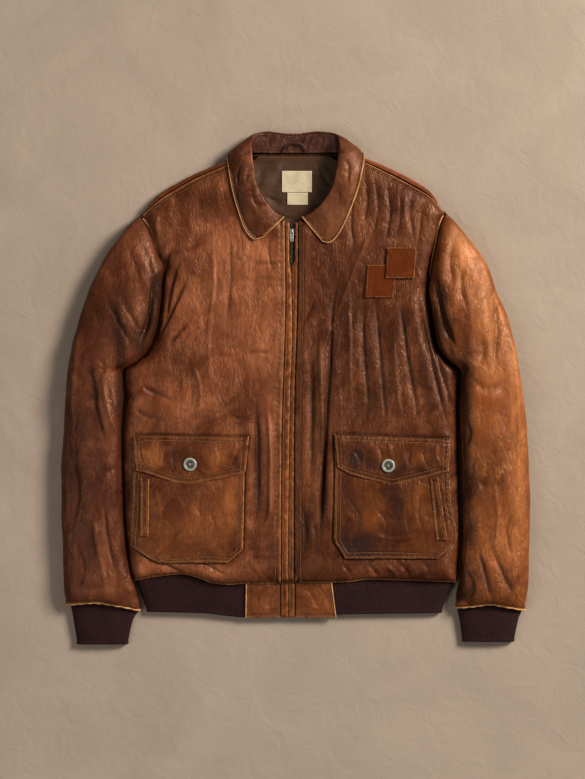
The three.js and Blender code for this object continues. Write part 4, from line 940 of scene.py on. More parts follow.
def liftAt(x, y):  # the back rises where the collar's fall is tucked under it
    rising = smooth((y - underFall["from"]) / underFall["fade"])
    return heights["fallLift"] * rising * smooth((underFall["halfWidth"] - np.abs(x)) / underFall["fade"])


backPlan = {"neckFold": 344, "neckReach": 10, "neckRise": 12, "neckTurn": 0.25, "curl": 9, "flat": 0.94,
            "neckInner": 46}


def backForm(c, r):
    plan = backPlan
    seamX = mix(-halves["right"]["tipOut"], halves["left"]["tipOut"], c)
    seamOut = np.abs(seamX)
    v = clamp01(r / plan["flat"])
    t = clamp01((r - plan["flat"]) / (1 - plan["flat"]))

    def place(half):
        shoulderOut = np.maximum(seamOut, half["neckCorner"])
        width = (shoulderOut - half["neckCorner"]) / (half["tipOut"] - half["neckCorner"])
        sideY = mix(half["sideBottom"], half["tipY"], v)
        sideOut = half["sideAt"](sideY)
        out = mix(half["neckCorner"], sideOut, width)
        below = frontHeight(half, sideOut, sideY) - gaps["seam"]
        edge = np.where(sideY <= half["pit"], below, half["backEdgeAt"](sideY))
        flatZ = edge * (1 - roll(sideOut - out, plan["curl"]))
        seamY = half["topAt"](shoulderOut)
        top = frontHeight(half, shoulderOut, seamY)
        lift = liftAt(shoulderOut, plan["neckFold"])
        angle = np.pi * (t - 0.5)
        rise = (top - lift) / 2
        shoulder = stack(
            np.where(t > 0, shoulderOut, out),
            np.where(t > 0, seamY + half["reachAt"](shoulderOut) * np.cos(angle) + gaps["seam"] / 2 * t,
                     mix(half["hemAt"](out), seamY, v)),
            np.where(t > 0, lift + rise * (1 + np.sin(angle)),
                     flatZ + liftAt(out, mix(half["hemAt"](out), seamY, v))),
        )
        turn = np.pi * (plan["neckTurn"] * t - 0.5)
        flatY = mix(half["hemAt"](seamOut), plan["neckFold"], v)
        neckLift = liftAt(seamOut, plan["neckFold"])
        neck = stack(
            seamOut,
            np.where(t > 0, plan["neckFold"] + plan["neckReach"] * np.cos(turn), flatY),
            np.where(t > 0, neckLift + plan["neckRise"] * (1 + np.sin(turn)), liftAt(seamOut, flatY)),
        )
        share = clamp01((seamOut - plan["neckInner"]) / (half["neckCorner"] - plan["neckInner"]))
        shoulder[..., 0] = np.where(seamOut < half["neckCorner"], seamOut, shoulder[..., 0])
        return mix(neck, shoulder, share[..., None]) * np.array([half["sign"], 1, 1])

    return np.where((seamX >= 0)[..., None], place(halves["left"]), place(halves["right"]))


def backRelief(points, normals, edges):
    x, y = points[..., 0], points[..., 1]
    free = smooth(edges["any"] / 14) * smooth((280 - y) / 30)
    waves = 1.6 * np.maximum(0, rumple(points, 60, seed=4) + 0.1)
    down = normals[..., 2] < 0
    yoke = -0.8 * bump(y - 196, 2.2)
    folds = creaseRelief(x, y, backCreases) + yoke
    return -free * waves * down, free * folds + turnedEdge(edges["high"]), 0


# lighter and darker spots on the fronts: stains and faded patches, painted shade in the deep folds by the
# armholes and beside the pocket, and painted highlights on lit folds
frontSpots = {
    "right": [(0.5, -110, 215, 40, 50), (0.5, -200, 225, 20, 40), (-0.35, -150, 10, 60, 40),
              (0.8, -60, 110, 40, 100), (-0.6, -30, -230, 30, 50), (0.6, -38, -90, 12, 110),
              (-0.6, -30, 236, 24, 16), (0.5, -150, 130, 40, 40), (-0.9, -200, 120, 8, 62),
              (-0.45, -130, 262, 60, 22), (0.7, -56, 205, 34, 34), (-0.4, -180, 60, 30, 40),
              (-0.6, -76, -40, 18, 60), (-0.6, -120, 290, 50, 20), (0.6, -170, -20, 40, 26),
              (-0.9, -52, -120, 7, 90), (0.4, -84, -120, 14, 60), (-0.5, -160, 200, 30, 40),
              (1.1, -206, -268, 34, 14), (0.8, -130, -276, 44, 9)],
    "left": [(-0.5, 60, 60, 40, 160), (0.8, 42, 10, 10, 60), (-1.3, 22, -215, 12, 46),
             (0.6, 84, 290, 20, 46), (-0.5, 130, 0, 40, 60), (0.5, 190, 235, 30, 36),
             (0.6, 20, 150, 12, 100), (-0.7, 215, 60, 26, 60), (0.4, 100, 230, 30, 40),
             (-0.9, 212, 120, 9, 60), (-0.5, 100, 120, 60, 60), (0.9, 26, -90, 12, 70),
             (-2.3, 47, -130, 5, 100), (0.8, 60, -150, 5, 90), (-0.4, 140, 290, 40, 20),
             (0.5, 120, -280, 40, 10)],
}
for name, half in halves.items():
    front = buildCloth(name + "FrontLeather", frontForm(half), name + "Front", 2.3,
                       relief=frontRelief(half), spots=frontSpots[name], worn=("first", "low"))
    standsFor(front, name + "_front")
# the strong dark spot at the neck is painted shade where the back runs under the collar
back = buildCloth("backLeather", backForm, "body", 4.4, (0, 0, -1), relief=backRelief,
                  spots=[(-4.0, 5, 348, 74, 9), (-0.5, 90, 60, 60, 90), (0.5, -80, 120, 60, 60),
                         (-0.4, -60, -160, 70, 50), (0.5, 70, -120, 50, 60)], worn=())
standsFor(back, "back_panel")
print("fronts and back made")

# sleeves and cuffs

def dome(share, power):
    return (1 - np.abs(2 * share - 1) ** power) ** (1 / power)


def underside(fold, share):
    return np.maximum(0, fold * (1 - rounds["dip"] * dome(share, rounds["under"])))


def eased(t, bunching):
    return t - bunching * np.sin(2 * np.pi * t) / (2 * np.pi)


sleevePlan = {"height": [(0, 42), (0.2, 45), (0.5, 42), (0.8, 38), (1, 36)], "columns": 9,
              "columnBunching": 0.6, "levelBunching": 0.5, "pitSpread": 60, "spreadTop": 150,
              "spreadFade": 50}


def roundTrip(c):  # goes over the front and comes back underneath
    return np.where(c <= 0.5, 2 * c, 2 - 2 * c), c > 0.5


def sleeveForm(half):
    outerPath, innerPath = pathThrough(half["sleeveOuter"]), pathThrough(half["sleeveInner"])
    cuffPath = pathThrough(half["cuffSeam"])
    heightAt = graph(sleevePlan["height"])
    count = sleevePlan["columns"]
    fine = np.linspace(0, 1, 801)

    def armhole(u, under):  # the armhole point for a share across the sleeve
        index = count * np.interp(u, eased(fine, sleevePlan["columnBunching"]), fine)
        y = mix(half["pit"], half["tipY"], eased(clamp01((count - index) / (count - 1)),
                                                 sleevePlan["levelBunching"]))
        out = half["sideAt"](y)
        slope = (half["sideAt"](y + 4) - half["sideAt"](y - 4)) / 8
        away = unit(stack(1.0, -slope)) * gaps["armhole"]
        z = np.where(under, half["backEdgeAt"](y), frontHeight(half, out, y))
        level = stack(out + away[..., 0], y + away[..., 1], z)
        tip = np.array([half["tipOut"] + gaps["armhole"],
                        half["tipY"] + half["reachAt"](half["tipOut"]) + gaps["armhole"],
                        frontHeight(half, half["tipOut"], half["tipY"]) / 2])
        return mix(tip, level, clamp01(index)[..., None])

    def form(c, v):
        u, under = roundTrip(c)
        seam = armhole(u, under)
        outer, inner, cuff = outerPath(v), innerPath(v), cuffPath(u)
        top = armhole(np.zeros(1), False)[0]
        pit = np.array([*half["sleeveInner"][0], heights["sideSeam"]])
        ends = mix(cuffPath(0.0), cuffPath(1.0), u[..., None])
        starts = mix(top[:2], pit[:2], u[..., None])
        vv, uu = v[..., None], u[..., None]
        place = mix(seam[..., :2], cuff, vv) + mix(outer, inner, uu) - mix(starts, ends, vv)
        out, y = place[..., 0], place[..., 1]
        faded = smooth((y - sleevePlan["spreadTop"]) / sleevePlan["spreadFade"])
        spread = sleevePlan["pitSpread"] * (1 - faded)
        clear = half["sideAt"](y) + gaps["side"] + spread * (1 - u) * smooth(v / 0.1)
        beside = (v > 0) & (u > 0) & (u < 1) & (y > half["sideBottom"] + 10)
        out = np.where(beside, np.maximum(out, clear), out)
        fromSeam = roll(np.hypot(out - seam[..., 0], y - seam[..., 1]), rolls["armhole"])
        fromCuff = roll(np.hypot(out - cuff[..., 0], y - cuff[..., 1]), rolls["cuff"])
        fold = mix(seam[..., 2], mix(heights["cuffFold"] + 2, heights["sleeveFold"], fromCuff), fromSeam)
        full = mix(heights["sleeveEnd"], heightAt(v), fromCuff)
        front = mix(seam[..., 2], fold + (full - fold) * dome(u, rounds["sleeve"]), fromSeam)
        rear = mix(seam[..., 2], underside(fold, u), fromSeam)
        return stack(half["sign"] * out, y, np.where(under, rear, front))

    return form


def cuffForm(half):
    outerAt, innerAt = graph(half["cuffOuter"]), graph(half["cuffInner"])
    seam = pathThrough(half["cuffSeam"])(np.linspace(0, 1, 60))[::-1]

    def form(c, v):
        u, under = roundTrip(c)
        out = mix(outerAt(v), innerAt(v), u)
        y = mix(np.interp(out, seam[:, 0], seam[:, 1]) - gaps["lay"], half["cuffEnd"], v)
        fold = heights["cuffFold"]
        full = mix(heights["cuffTop"], heights["cuffEnd"], v)
        front = fold + (full - fold) * dome(u, rounds["cuff"])
        return stack(half["sign"] * out, y, np.where(under, underside(fold, u), front))

    return form


knit = {"pitch": 2.9, "depth": 0.25, "perRib": 4}


def ribRelief(count):  # upright knitted ribs, drawn in at the seam and rolled at the free edge
    def relief(points, normals, edges):
        share = np.linspace(0, 1, points.shape[1])[None, :]
        ribs = knit["depth"] * np.cos(2 * np.pi * count * share)
        waves = 0.5 * rumple(points, 30, octaves=2, seed=2)
        bottom = 0.9 * bump(edges["high"] - 2.5, 2.2) - 0.7 * bump(edges["high"] - 6, 1.3)
        return waves * smooth(edges["any"] / 8) + bottom, 2 * ribs * smooth(edges["low"] / 3), 0

    return relief


def buildKnit(name, form, node, cell, tube):
    around = runLengths(form(np.linspace(0, 1, lineSteps), np.full(lineSteps, 0.5)))[-1]
    count = round(around / knit["pitch"])
    obj = buildCloth(name, form, "knit", cell, None, columns=count * knit["perRib"], wall="knit",
                     relief=ribRelief(count), tube=tube)
    standsFor(obj, node)


# stains, painted shade in the black trench at the armhole and down the inner side by the body, and painted
# highlights along the lit outer side
sleeveSpots = {
    "right": [(-0.5, -330, 20, 16, 200), (-0.4, -300, -220, 40, 90), (0.6, -276, -40, 10, 60),
              (0.5, -245, 215, 22, 36), (-0.5, -262, 110, 30, 40), (0.5, -280, -300, 40, 30),
              (-2.2, -257, 14, 8, 90), (-2.0, -200, 150, 6, 26), (-2.3, -207, 108, 9, 32),
              (-2.0, -226, 68, 11, 20), (-0.6, -290, 120, 30, 50), (-0.7, -250, -200, 10, 100),
              (0.6, -268, 40, 16, 30), (0.5, -300, 170, 20, 50),
              (1.0, -278, -230, 11, 56), (-0.8, -322, -120, 12, 80)],
    "left": [(0.9, 338, -20, 12, 200), (0.6, 290, 110, 34, 110), (-0.4, 276, 60, 14, 24),
             (0.8, 262, 200, 30, 40), (-0.9, 262, -200, 14, 110), (0.4, 310, -230, 26, 60),
             (-2.4, 223, 112, 10, 44), (-1.6, 258, 10, 8, 90), (-0.6, 290, -130, 40, 60),
             (-0.7, 270, -290, 30, 40), (-0.7, 320, -300, 20, 30),
             (-1.6, 248, -312, 9, 14), (1.6, 252, -322, 8, 5)],
}
for name, half in halves.items():
    sleeve = buildCloth(name + "SleeveLeather", sleeveForm(half), name + "Sleeve", 2.7, None,
                        relief=sleeveRelief(half), spots=sleeveSpots[name], tube=True, worn=("high",))
    standsFor(sleeve, name + "_sleeve")
    buildKnit(name + "CuffKnit", cuffForm(half), name + "_cuff", 2.4, True)
print("sleeves and cuffs made")

# the hem: waist rib and leather tabs

ribPlan = {"end": [(-218, -336), (-139, -338), (-71, -344), (67, -340), (223, -338)],
           "frontShare": 0.25, "curl": 8, "top": -292, "bunching": 1.6}


def ribForm(c, v):  # from the left tab over the left side, the back and the right side
    endAt = graph(ribPlan["end"])
    share = ribPlan["frontShare"]

    def atFront(half, t):
        y = mix(ribPlan["top"], half["ribSide"][0][0], v)
        side, start = half["ribSideAt"](y), half["tabOuterAt"](y) + gaps["seam"]
        out = mix(start, side, 1 - (1 - t) ** ribPlan["bunching"])
        x = half["sign"] * out
        full = mix(heights["rib"], heights["ribEnd"], v)
        z = mix(heights["ribFold"], full, roll(side - out, rolls["ribSide"]))
        return stack(x, mix(half["hemAt"](out) - gaps["rib"], endAt(x), v), z)

    left = atFront(halves["left"], clamp01(c / share))
    right = atFront(halves["right"], clamp01((1 - c) / share))
    start, end = (atFront(halves[k], np.ones_like(v))[..., 0] for k in ("left", "right"))
    x = mix(start, end, clamp01((c - share) / (1 - 2 * share)))
    z = heights["ribFold"] * (1 - roll(np.minimum(start - x, x - end), ribPlan["curl"]))
    hem = np.where(x >= 0, halves["left"]["hemAt"](np.abs(x)), halves["right"]["hemAt"](np.abs(x)))
    rear = stack(x, mix(hem - gaps["rib"], endAt(x), v), z)
    place = np.where((c < share)[..., None], left, rear)
    return np.where((c > 1 - share)[..., None], right, place)


tabPlan = {"bottom": -344.5, "sink": 0.4, "rise": 1.5}


def tabForm(half):
    def form(u, v):
        y = mix(half["hemAt"](half["tabCentre"]) - gaps["seam"], tabPlan["bottom"], v)
        out = mix(half["tabCentre"], half["tabOuterAt"](y) - gaps["seam"], u)
        seam = frontHeight(half, out, half["hemAt"](out)) - tabPlan["sink"]
        return stack(half["sign"] * out, y, mix(seam, heights["ribEnd"] + tabPlan["rise"], v))

    return form


def tabRelief(half):
    creases = [
        (-1.3, 4, [(16, -298), (30, -312), (40, -334)]),
        (-1.2, 4, [(34, -296), (46, -306), (54, -326)]),
        (1.0, 4, [(12, -318), (28, -328), (50, -332)]),
    ]

    def relief(points, normals, edges):
        out, y = np.abs(points[..., 0]), points[..., 1]
        free = smooth(edges["any"] / 7)
        folds = creaseRelief(out, y, creases) + 0.9 * rumple(points, 12, (1, 1.4, 1), 3, 7 * half["sign"])
        puckers = pucker(out, edges["low"], 3, 7, 0.7)
        sewn = turnedEdge(edges["last"], (3.6,)) + turnedEdge(edges["high"], (3.6,))
        lines = sewnLines(edges["last"], (3.6,)) + sewnLines(edges["high"], (3.6,))
        return 0, free * folds + puckers + sewn, lines + bump(edges["low"], 1.6)

    return relief


buildKnit("waistKnit", ribForm, "waist_rib", 2.6, False)
for name, half in halves.items():
    tab = buildCloth(name + "HemTabLeather", tabForm(half), "rightPocket", 1.7,
                     relief=tabRelief(half), spots=[(0.4, half["sign"] * 40, -320, 20, 20)],
                     worn=("high", "last"))
    standsFor(tab, name + "_hem_tab")
print("hem made")

# collar and what shows inside the neck: for each station the x, y and height of its roll, the
# point the fall bends towards, its outer edge and the neck seam, from the front edge to the back

collarLeft = {
    "roll": [(14, 256, 28), (25, 261, 30), (38, 271, 33), (50, 285, 36), (60, 304, 38),
             (65, 327, 38), (68, 350, 37), (70, 367, 31), (64, 381, 20), (38, 384, 14)],
    "bend": [(28, 238, 33), (43, 238, 36), (57, 252, 40), (69, 272, 42), (80, 298, 43),
             (86, 324, 43), (94, 352, 40), (96, 368, 26), (88, 376, 2), (50, 394, 1.3)],
    "edge": [(45, 219, 32.6), (57, 217.5, 33), (71, 233, 33), (83, 258, 33), (97, 294, 33),
             (104, 322, 33), (107, 343, 23), (105, 352, 12), (98, 343, 0.7), (60, 323, 0.7)],
    "neck": [(11.5, 251, 25), (19, 254, 25), (33, 263.5, 24.5), (51, 282, 24), (65, 307, 24),
             (73.5, 330, 24), (78, 349.5, 24.5), (70, 352.5, 17), (56, 353.5, 9.8), (34, 353, 8.2)],
}
collarBack = {"roll": (-1, 380.5, 12.5), "bend": (-1, 391, 1.3), "edge": (0, 325, 0.7),
              "neck": (0, 353, 8.2)}
collarRight = {
    "roll": [(12, 256, 28), (24, 262, 30), (36, 276, 33), (46, 290, 36), (53, 306, 38),
             (57, 327, 38), (60, 350, 37), (61, 367, 31), (55, 381, 20), (36, 384, 14)],
    "bend": [(26, 242, 33), (44, 244, 36), (56, 260, 40), (64, 280, 42), (73, 300, 43),
             (77, 324, 43), (84, 354, 40), (86, 367, 26), (77, 376, 2), (48, 394, 1.3)],
    "edge": [(44, 226, 32.6), (58, 222.5, 33), (70, 235, 33), (79, 258, 33), (88, 288, 33),
             (94, 318, 33), (97, 340, 23), (97, 350.5, 12), (90, 342, 0.7), (55, 323, 0.7)],
    "neck": [(13, 251, 25), (20, 254.5, 25), (33, 264, 24.5), (47, 280, 24), (59, 302, 24),
             (67, 327, 24), (72, 347.5, 24.5), (64, 351.5, 17), (50, 353, 9.8), (32, 353, 8.2)],
}


def collarLine(field):  # read at a share of the way round from the left front edge to the right
    mirrored = [(-x, y, z) for x, y, z in reversed(collarRight[field])]
    points = np.array([*collarLeft[field], collarBack[field], *mirrored], float)
    axes = [cubicThrough(range(len(points)), points[:, k], False) for k in range(3)]
    return lambda share: stack(*[axis(np.asarray(share) * (len(points) - 1)) for axis in axes])


collarRoll, collarBend, collarEdge, collarNeck = (
    collarLine(field) for field in ("roll", "bend", "edge", "neck"))


def fallForm(c, t):
    tt = t[..., None]
    return (1 - tt) ** 2 * collarRoll(c) + 2 * tt * (1 - tt) * collarBend(c) + tt**2 * collarEdge(c)


def standForm(c, t):  # ends just behind the fall, where the collar rolls over
    along = collarRoll(c + 0.002) - collarRoll(c - 0.002)
    normal = unit(np.cross(collarBend(c) - collarRoll(c), along))
    top = collarRoll(c) - normal * (cloth["leather"] + gaps["seam"])
    return mix(collarNeck(c), top, t[..., None])


fallCreases = [
    (-1.3, 3.5, [(-62, 356), (-70, 350), (-78, 350)]),
    (-1.4, 4, [(-58, 330), (-66, 322), (-70, 306)]),
    (1.2, 4, [(-52, 312), (-56, 292), (-48, 276)]),
    (-1.2, 3.5, [(-60, 304), (-58, 284), (-50, 268)]),
    (-1.2, 4, [(-74, 340), (-82, 318), (-80, 296)]),
    (-1.1, 4, [(76, 346), (84, 330), (82, 306)]),
    (-1.0, 4, [(64, 306), (70, 288), (66, 272)]),
    (1.0, 5, [(88, 320), (86, 296), (76, 270)]),
    (-1.0, 3.5, [(30, 262), (42, 254), (54, 250)]),
]


def fallRelief(points, normals, edges):
    x, y = points[..., 0], points[..., 1]
    free = smooth(edges["high"] / 10) * smooth(edges["low"] / 5)
    waves = 0.9 * rumple(points, 20, (1, 1.6, 1.6), 3, 11)
    gathered = 1.2 * rumple(points, 7, (2.0, 0.7, 1), 3, 13) * bump(edges["low"] - 7, 9)
    seen = smooth((y - 200) / 20) * smooth((normals[..., 2] + 0.4) / 0.6)
    sewn = turnedEdge(edges["high"], (4.4,), 0.9, 0.8)
    sides = turnedEdge(nearest(edges, "first", "last"), (4.4,), 0.7, 0.6)
    folds = creaseRelief(x, y, fallCreases)
    lines = sewnLines(nearest(edges, "first", "last", "high"), (3.8,), 1.2)
    return seen * free * waves, seen * (free * (1.3 * folds + gathered) + sewn + sides), lines


def standRelief(points, normals, edges):  # gathered into the neck seam
    uneven = 0.6 + 0.9 * rumple(points, 22, octaves=2, seed=9)
    phase = 2 * np.pi * edges["first"] / 13 + 5 * rumple(points, 30, octaves=2, seed=3)
    gathers = 0.45 * uneven * np.sin(phase)
    small = 0.7 * rumple(points, 9, (1, 1, 2), 2, 5)
    return 0, (2.0 * gathers + small) * smooth(edges["any"] / 5), bump(edges["low"], 2.0)


neck = {"lining": [(236, -68, 76), (330, -72, 82), (348, -50, 56)],
        "mainLabel": [(294, -16, 29), (326, -16, 29)], "sizeTab": [(275, -8, 23), (293.4, -8, 23)],
        "labelLift": 1.2}
liningPlan = {"height": 8.8, "middle": 5, "halfWidth": 80, "sideRise": 7, "topRise": 2,
              "topFrom": 335, "topReach": 14}


def liningHeight(x, y):
    plan = liningPlan
    side = np.abs(x - plan["middle"]) / plan["halfWidth"]
    top = smooth((y - plan["topFrom"]) / plan["topReach"])
    return plan["height"] + plan["sideRise"] * side**2 + plan["topRise"] * top


def neckForm(rows, lift=0.0):  # (y, right side, left side)
    right, left = straight([(y, a) for y, a, b in rows]), straight([(y, b) for y, a, b in rows])

    def form(u, v):
        y = mix(rows[0][0], rows[-1][0], v)
        x = mix(right(y), left(y), u)
        return stack(x, y, liningHeight(x, y) + lift)

    return form


liningCreases = [
    (-1.6, 5, [(-42, 288), (-20, 280), (0, 292)]),
    (1.4, 6, [(-50, 300), (-34, 318), (-12, 340)]),
    (-1.4, 5, [(-56, 316), (-40, 332), (-24, 342)]),
    (-1.3, 5, [(34, 342), (46, 320), (60, 300)]),
    (1.3, 6, [(30, 300), (44, 286), (58, 282)]),
    (-1.3, 5, [(-30, 262), (-4, 254), (20, 262)]),
]


def liningRelief(points, normals, edges):
    x, y = points[..., 0], points[..., 1]
    underLabels = smooth((20 - np.abs(x - 6)) / 10 + 1) * smooth((y - 268) / 8)
    folds = 1.5 * creaseRelief(x, y, liningCreases) + 0.8 * rumple(points, 26, octaves=2, seed=21)
    return 0, np.minimum(folds * smooth(edges["any"] / 10) * (1 - underLabels), 0.9), 0


loopPlan = {"path": [(-13, 355.5), (-10, 362), (-2, 367), (11, 367), (18, 361), (21, 354.5)],
            "width": 3.4, "seam": 353, "height": 11.8, "slope": 0.2, "round": 0.5}


def loopForm(u, v):
    path = pathThrough(loopPlan["path"])
    place = path(v)
    along = unit(path(np.minimum(v + 0.01, 1)) - path(np.maximum(v - 0.01, 0)))
    aside = stack(along[..., 1], -along[..., 0])
    level = place - aside * (0.5 - u)[..., None] * loopPlan["width"]
    z = loopPlan["height"] + (place[..., 1] - loopPlan["seam"]) * loopPlan["slope"]
    return stack(level[..., 0], level[..., 1], z + loopPlan["round"] * np.sin(np.pi * u))


# lighter spots are painted highlights along the roll; darker ones darken the left fall
fall = buildCloth("collarFallLeather", fallForm, "collar", 1.6, relief=fallRelief,
                  spots=[(0.7, -66, 330, 8, 60), (0.5, 92, 300, 8, 50), (0.8, 60, 256, 18, 40),
                         (-0.7, -88, 290, 12, 40), (-0.4, 70, 340, 8, 24), (0.6, 80, 330, 12, 30),
                         (-0.5, -60, 240, 20, 16), (0.4, -50, 262, 10, 20), (-1.0, -72, 300, 22, 60)],
                  worn=("high", "first", "last"))
standsFor(fall, "collar_fall")
stand = buildCloth("collarStandLeather", standForm, "collarStand", 1.9,
                   relief=standRelief, worn=())
standsFor(stand, "collar_stand")
lining = buildCloth("neckLining", neckForm(neck["lining"]), "lining", 2.4,
                    wall="lining", relief=liningRelief)
standsFor(lining, "back_lining")
for name, node, size in (("mainLabel", "main_label", (0.045, 0.032)),
                         ("sizeTab", "size_tab", (0.031, 0.0184))):
    piece = buildCloth(name + "Cloth", neckForm(neck[name], neck["labelLift"]), "label", 1.0, wall="label",
                       relief=lambda points, *_: (0, 0.35 * rumple(points, 12, octaves=2, seed=2), 0))
    standsFor(piece, node)
loop = buildCloth("hangerLoopLeather", loopForm, "collarStand", 0.8, worn=())
standsFor(loop, "hanger_loop")
print("collar and neck made")

# the zip: folded welts, tape, teeth, and the slider and pull kept as solids

zipPlan = {"line": [(-345, -6.5), (-290, -6.5), (-78, -4.5), (-3, -3), (87, 0), (189, -1.5), (249, -1)],
           "top": 248, "bottom": -344, "chainDrop": 4.2, "tapeHalf": 6, "rise": 0.8, "tabRise": 1.5,
           "tabSlope": 54, "foldDrops": [-1.4, 0, -1], "foldShort": 0.8, "toothPitch": 2.6,
           "toothOut": 0.9, "toothRise": 0.8, "tooth": (2.6, 1.0, 1.4), "toothRounding": 0.2,
           "sliderRoom": 6}
zipAt = graph(zipPlan["line"])


def zipHeight(y):
    half = halves["left"]
    edge = frontHeight(half, half["centreAt"](y), np.maximum(y, half["centre"][0][0]))
    fall = smooth((half["centre"][0][0] - y) / zipPlan["tabSlope"])
    return mix(edge, heights["ribEnd"] + zipPlan["tabRise"], fall) + zipPlan["rise"]


def weltForm(half):
    dropAt = cubicThrough([0, 0.5, 1], zipPlan["foldDrops"], False)

    def form(u, v):
        y = mix(zipPlan["bottom"], zipPlan["top"], v)
        fold = half["sign"] * zipAt(y) + half["zipFoldAt"](y)
        outer = np.where(y < half["centre"][0][0], half["tabCentre"], half["centreAt"](y))
        out = mix(fold, outer - zipPlan["foldShort"], u)
        return stack(half["sign"] * out, y, zipHeight(y) + dropAt(u))

    return form


def weltRelief(half):
    def relief(points, normals, edges):
        y = points[..., 1]
        wavy = 0.35 * np.sin(2 * np.pi * y / 17 + 2 * rumple(points, 60, octaves=1, seed=3))
        waves = wavy + 0.3 * rumple(points, 9, (1, 2, 1), 2, half["sign"])
        stitched = -0.35 * bump(edges["last"] - 2.2, 0.9)
        # darker along its outer edge: painted shade in the groove beside the front's edge
        return waves * smooth(edges["any"] / 1.5), stitched, bump(edges["last"], 1.3)

    return relief


def tapeForm(u, v):
    y = mix(zipPlan["bottom"], zipPlan["top"], v)
    return stack(zipAt(y) + (2 * u - 1) * zipPlan["tapeHalf"], y, zipHeight(y) - zipPlan["chainDrop"])


for name, half in halves.items():
    welt = buildCloth(name + "ZipWeltLeather", weltForm(half), "welt", 1.1,
                      rows=300, relief=weltRelief(half), worn=("first",))
    standsFor(welt, name + "_zip_welt")
tape = buildCloth("zipTapeCloth", tapeForm, "tape", 1.5, rows=120)
standsFor(tape, "zip_chain")
metalEdges = {"width": 0.25, "segments": 2, "sharperThan": 35}
for name in ("zip_slider", "zip_pull"):
    solid = bpy.data.objects[name]
    solid.data.materials.clear()
    solid.data.materials.append(finishes["metal"])
    solid.modifiers.new("weld", "WELD").merge_threshold = 0.01 * mm
    bevel = solid.modifiers.new("softEdges", "BEVEL")
    bevel.width = metalEdges["width"] * mm
    bevel.segments = metalEdges["segments"]
    bevel.limit_method = "ANGLE"
    bevel.angle_limit = math.radians(metalEdges["sharperThan"])

teeth = bmesh.new()
sliderY = (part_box("zip_slider")[0][1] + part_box("zip_slider")[1][1]) / 2 / mm
toothYs = np.arange(zipPlan["bottom"] + 4, zipPlan["top"] - 3, zipPlan["toothPitch"] / 2)
for index, y in enumerate(toothYs):
    if abs(y - sliderY) < zipPlan["sliderRoom"]:
        continue
    x = float(zipAt(y)) + (zipPlan["toothOut"] if index % 2 else -zipPlan["toothOut"])
    z = float(zipHeight(y)) - zipPlan["chainDrop"] + zipPlan["toothRise"]
    bmesh.ops.create_cube(teeth, size=1, matrix=laidAt((x, y, z), zipPlan["tooth"]))
bmesh.ops.bevel(teeth, geom=teeth.edges[:], offset=zipPlan["toothRounding"] * mm, offset_type="OFFSET",
                segments=1, profile=0.5, affect="EDGES", material=-1, clamp_overlap=True)
finished("zipTeeth", meshFrom("zipTeeth", teeth), "teeth")
print("zip made")

# pockets, flaps, side welts and patches, each laid over its front

flapLift = gaps["lay"] + cloth["leather"] + gaps["flap"]


def trimRelief(height, size, seed, inset, fold, groove):  # a small piece, sewn down all round
    def relief(points, normals, edges):
        waves = height * rumple(points, size, octaves=2, seed=seed)
        return waves, turnedEdge(edges["any"], (inset,), fold, groove), sewnLines(edges["any"], (inset,))

    return relief


def overFront(half, inner, outer, bottom, top, lift):
    innerAt, outerAt = straight(inner), straight(outer)

    def form(u, v):
        y = mix(bottom, top, v)
        return onFront(half, mix(innerAt(y), outerAt(y), u), y, lift)

    return form


def flapForm(half):
    bottomAt = straight(half["flapBottom"])
    (innerOut, innerY), (outerOut, outerY) = half["flapTop"]

    def form(u, v):
        bottomOut = mix(half["flapBottom"][0][0], half["flapBottom"][-1][0], u)
        lift = mix(flapLift, gaps["lay"], smooth((v - 0.7) / 0.3)) + cloth["leather"]
        out = mix(bottomOut, mix(innerOut, outerOut, u), v)
        return onFront(half, out, mix(bottomAt(bottomOut), mix(innerY, outerY, u), v), lift)

    return form


pocketCreases = {
    "right": [(-1.3, 5, [(-104, -160), (-120, -186), (-112, -220)]),
              (-1.4, 5, [(-150, -200), (-168, -214), (-186, -236)]),
              (1.3, 7, [(-206, -150), (-198, -190), (-206, -226)]),
              (-1.2, 5, [(-130, -150), (-140, -176), (-134, -200)]),
              (1.2, 8, [(-172, -160), (-160, -190), (-166, -226)])],
    "left": [(-1.5, 6, [(82, -160), (100, -190), (96, -228)]),
             (-1.3, 5, [(120, -176), (140, -200), (136, -236)]),
             (1.4, 8, [(170, -160), (166, -196), (174, -232)]),
             (-1.3, 5, [(196, -150), (188, -186), (198, -220)]),
             (1.2, 7, [(110, -216), (150, -226), (190, -220)])],
}
flapCreases = {
    "right": [(-1.5, 3.4, [(-229, -82), (-226, -104), (-218, -122)]),
              (-1.3, 3.4, [(-74, -86), (-84, -104), (-97, -122)]),
              (-1.6, 3.6, [(-177, -86), (-178, -106), (-176, -128)]),
              (1.2, 4, [(-200, -88), (-196, -104), (-204, -120)]),
              (-1.0, 3, [(-150, -84), (-148, -96), (-154, -106)]),
              (1.1, 4, [(-120, -84), (-112, -104), (-118, -124)])],
    "left": [(-1.6, 3.6, [(127, -82), (134, -100), (131, -122)]),
             (1.5, 4, [(141, -80), (146, -92), (142, -104)]),
             (-1.4, 3.4, [(176, -88), (174, -104), (173, -120)]),
             (-1.3, 3.4, [(92, -92), (100, -104), (104, -118)]),
             (-1.2, 3.4, [(200, -84), (196, -100), (202, -118)]),
             (1.2, 4, [(216, -84), (214, -100), (218, -114)])],
}


def stagger(points, size, seed):
    return rumple(points, size, (1, 1.3, 1), 3, seed)


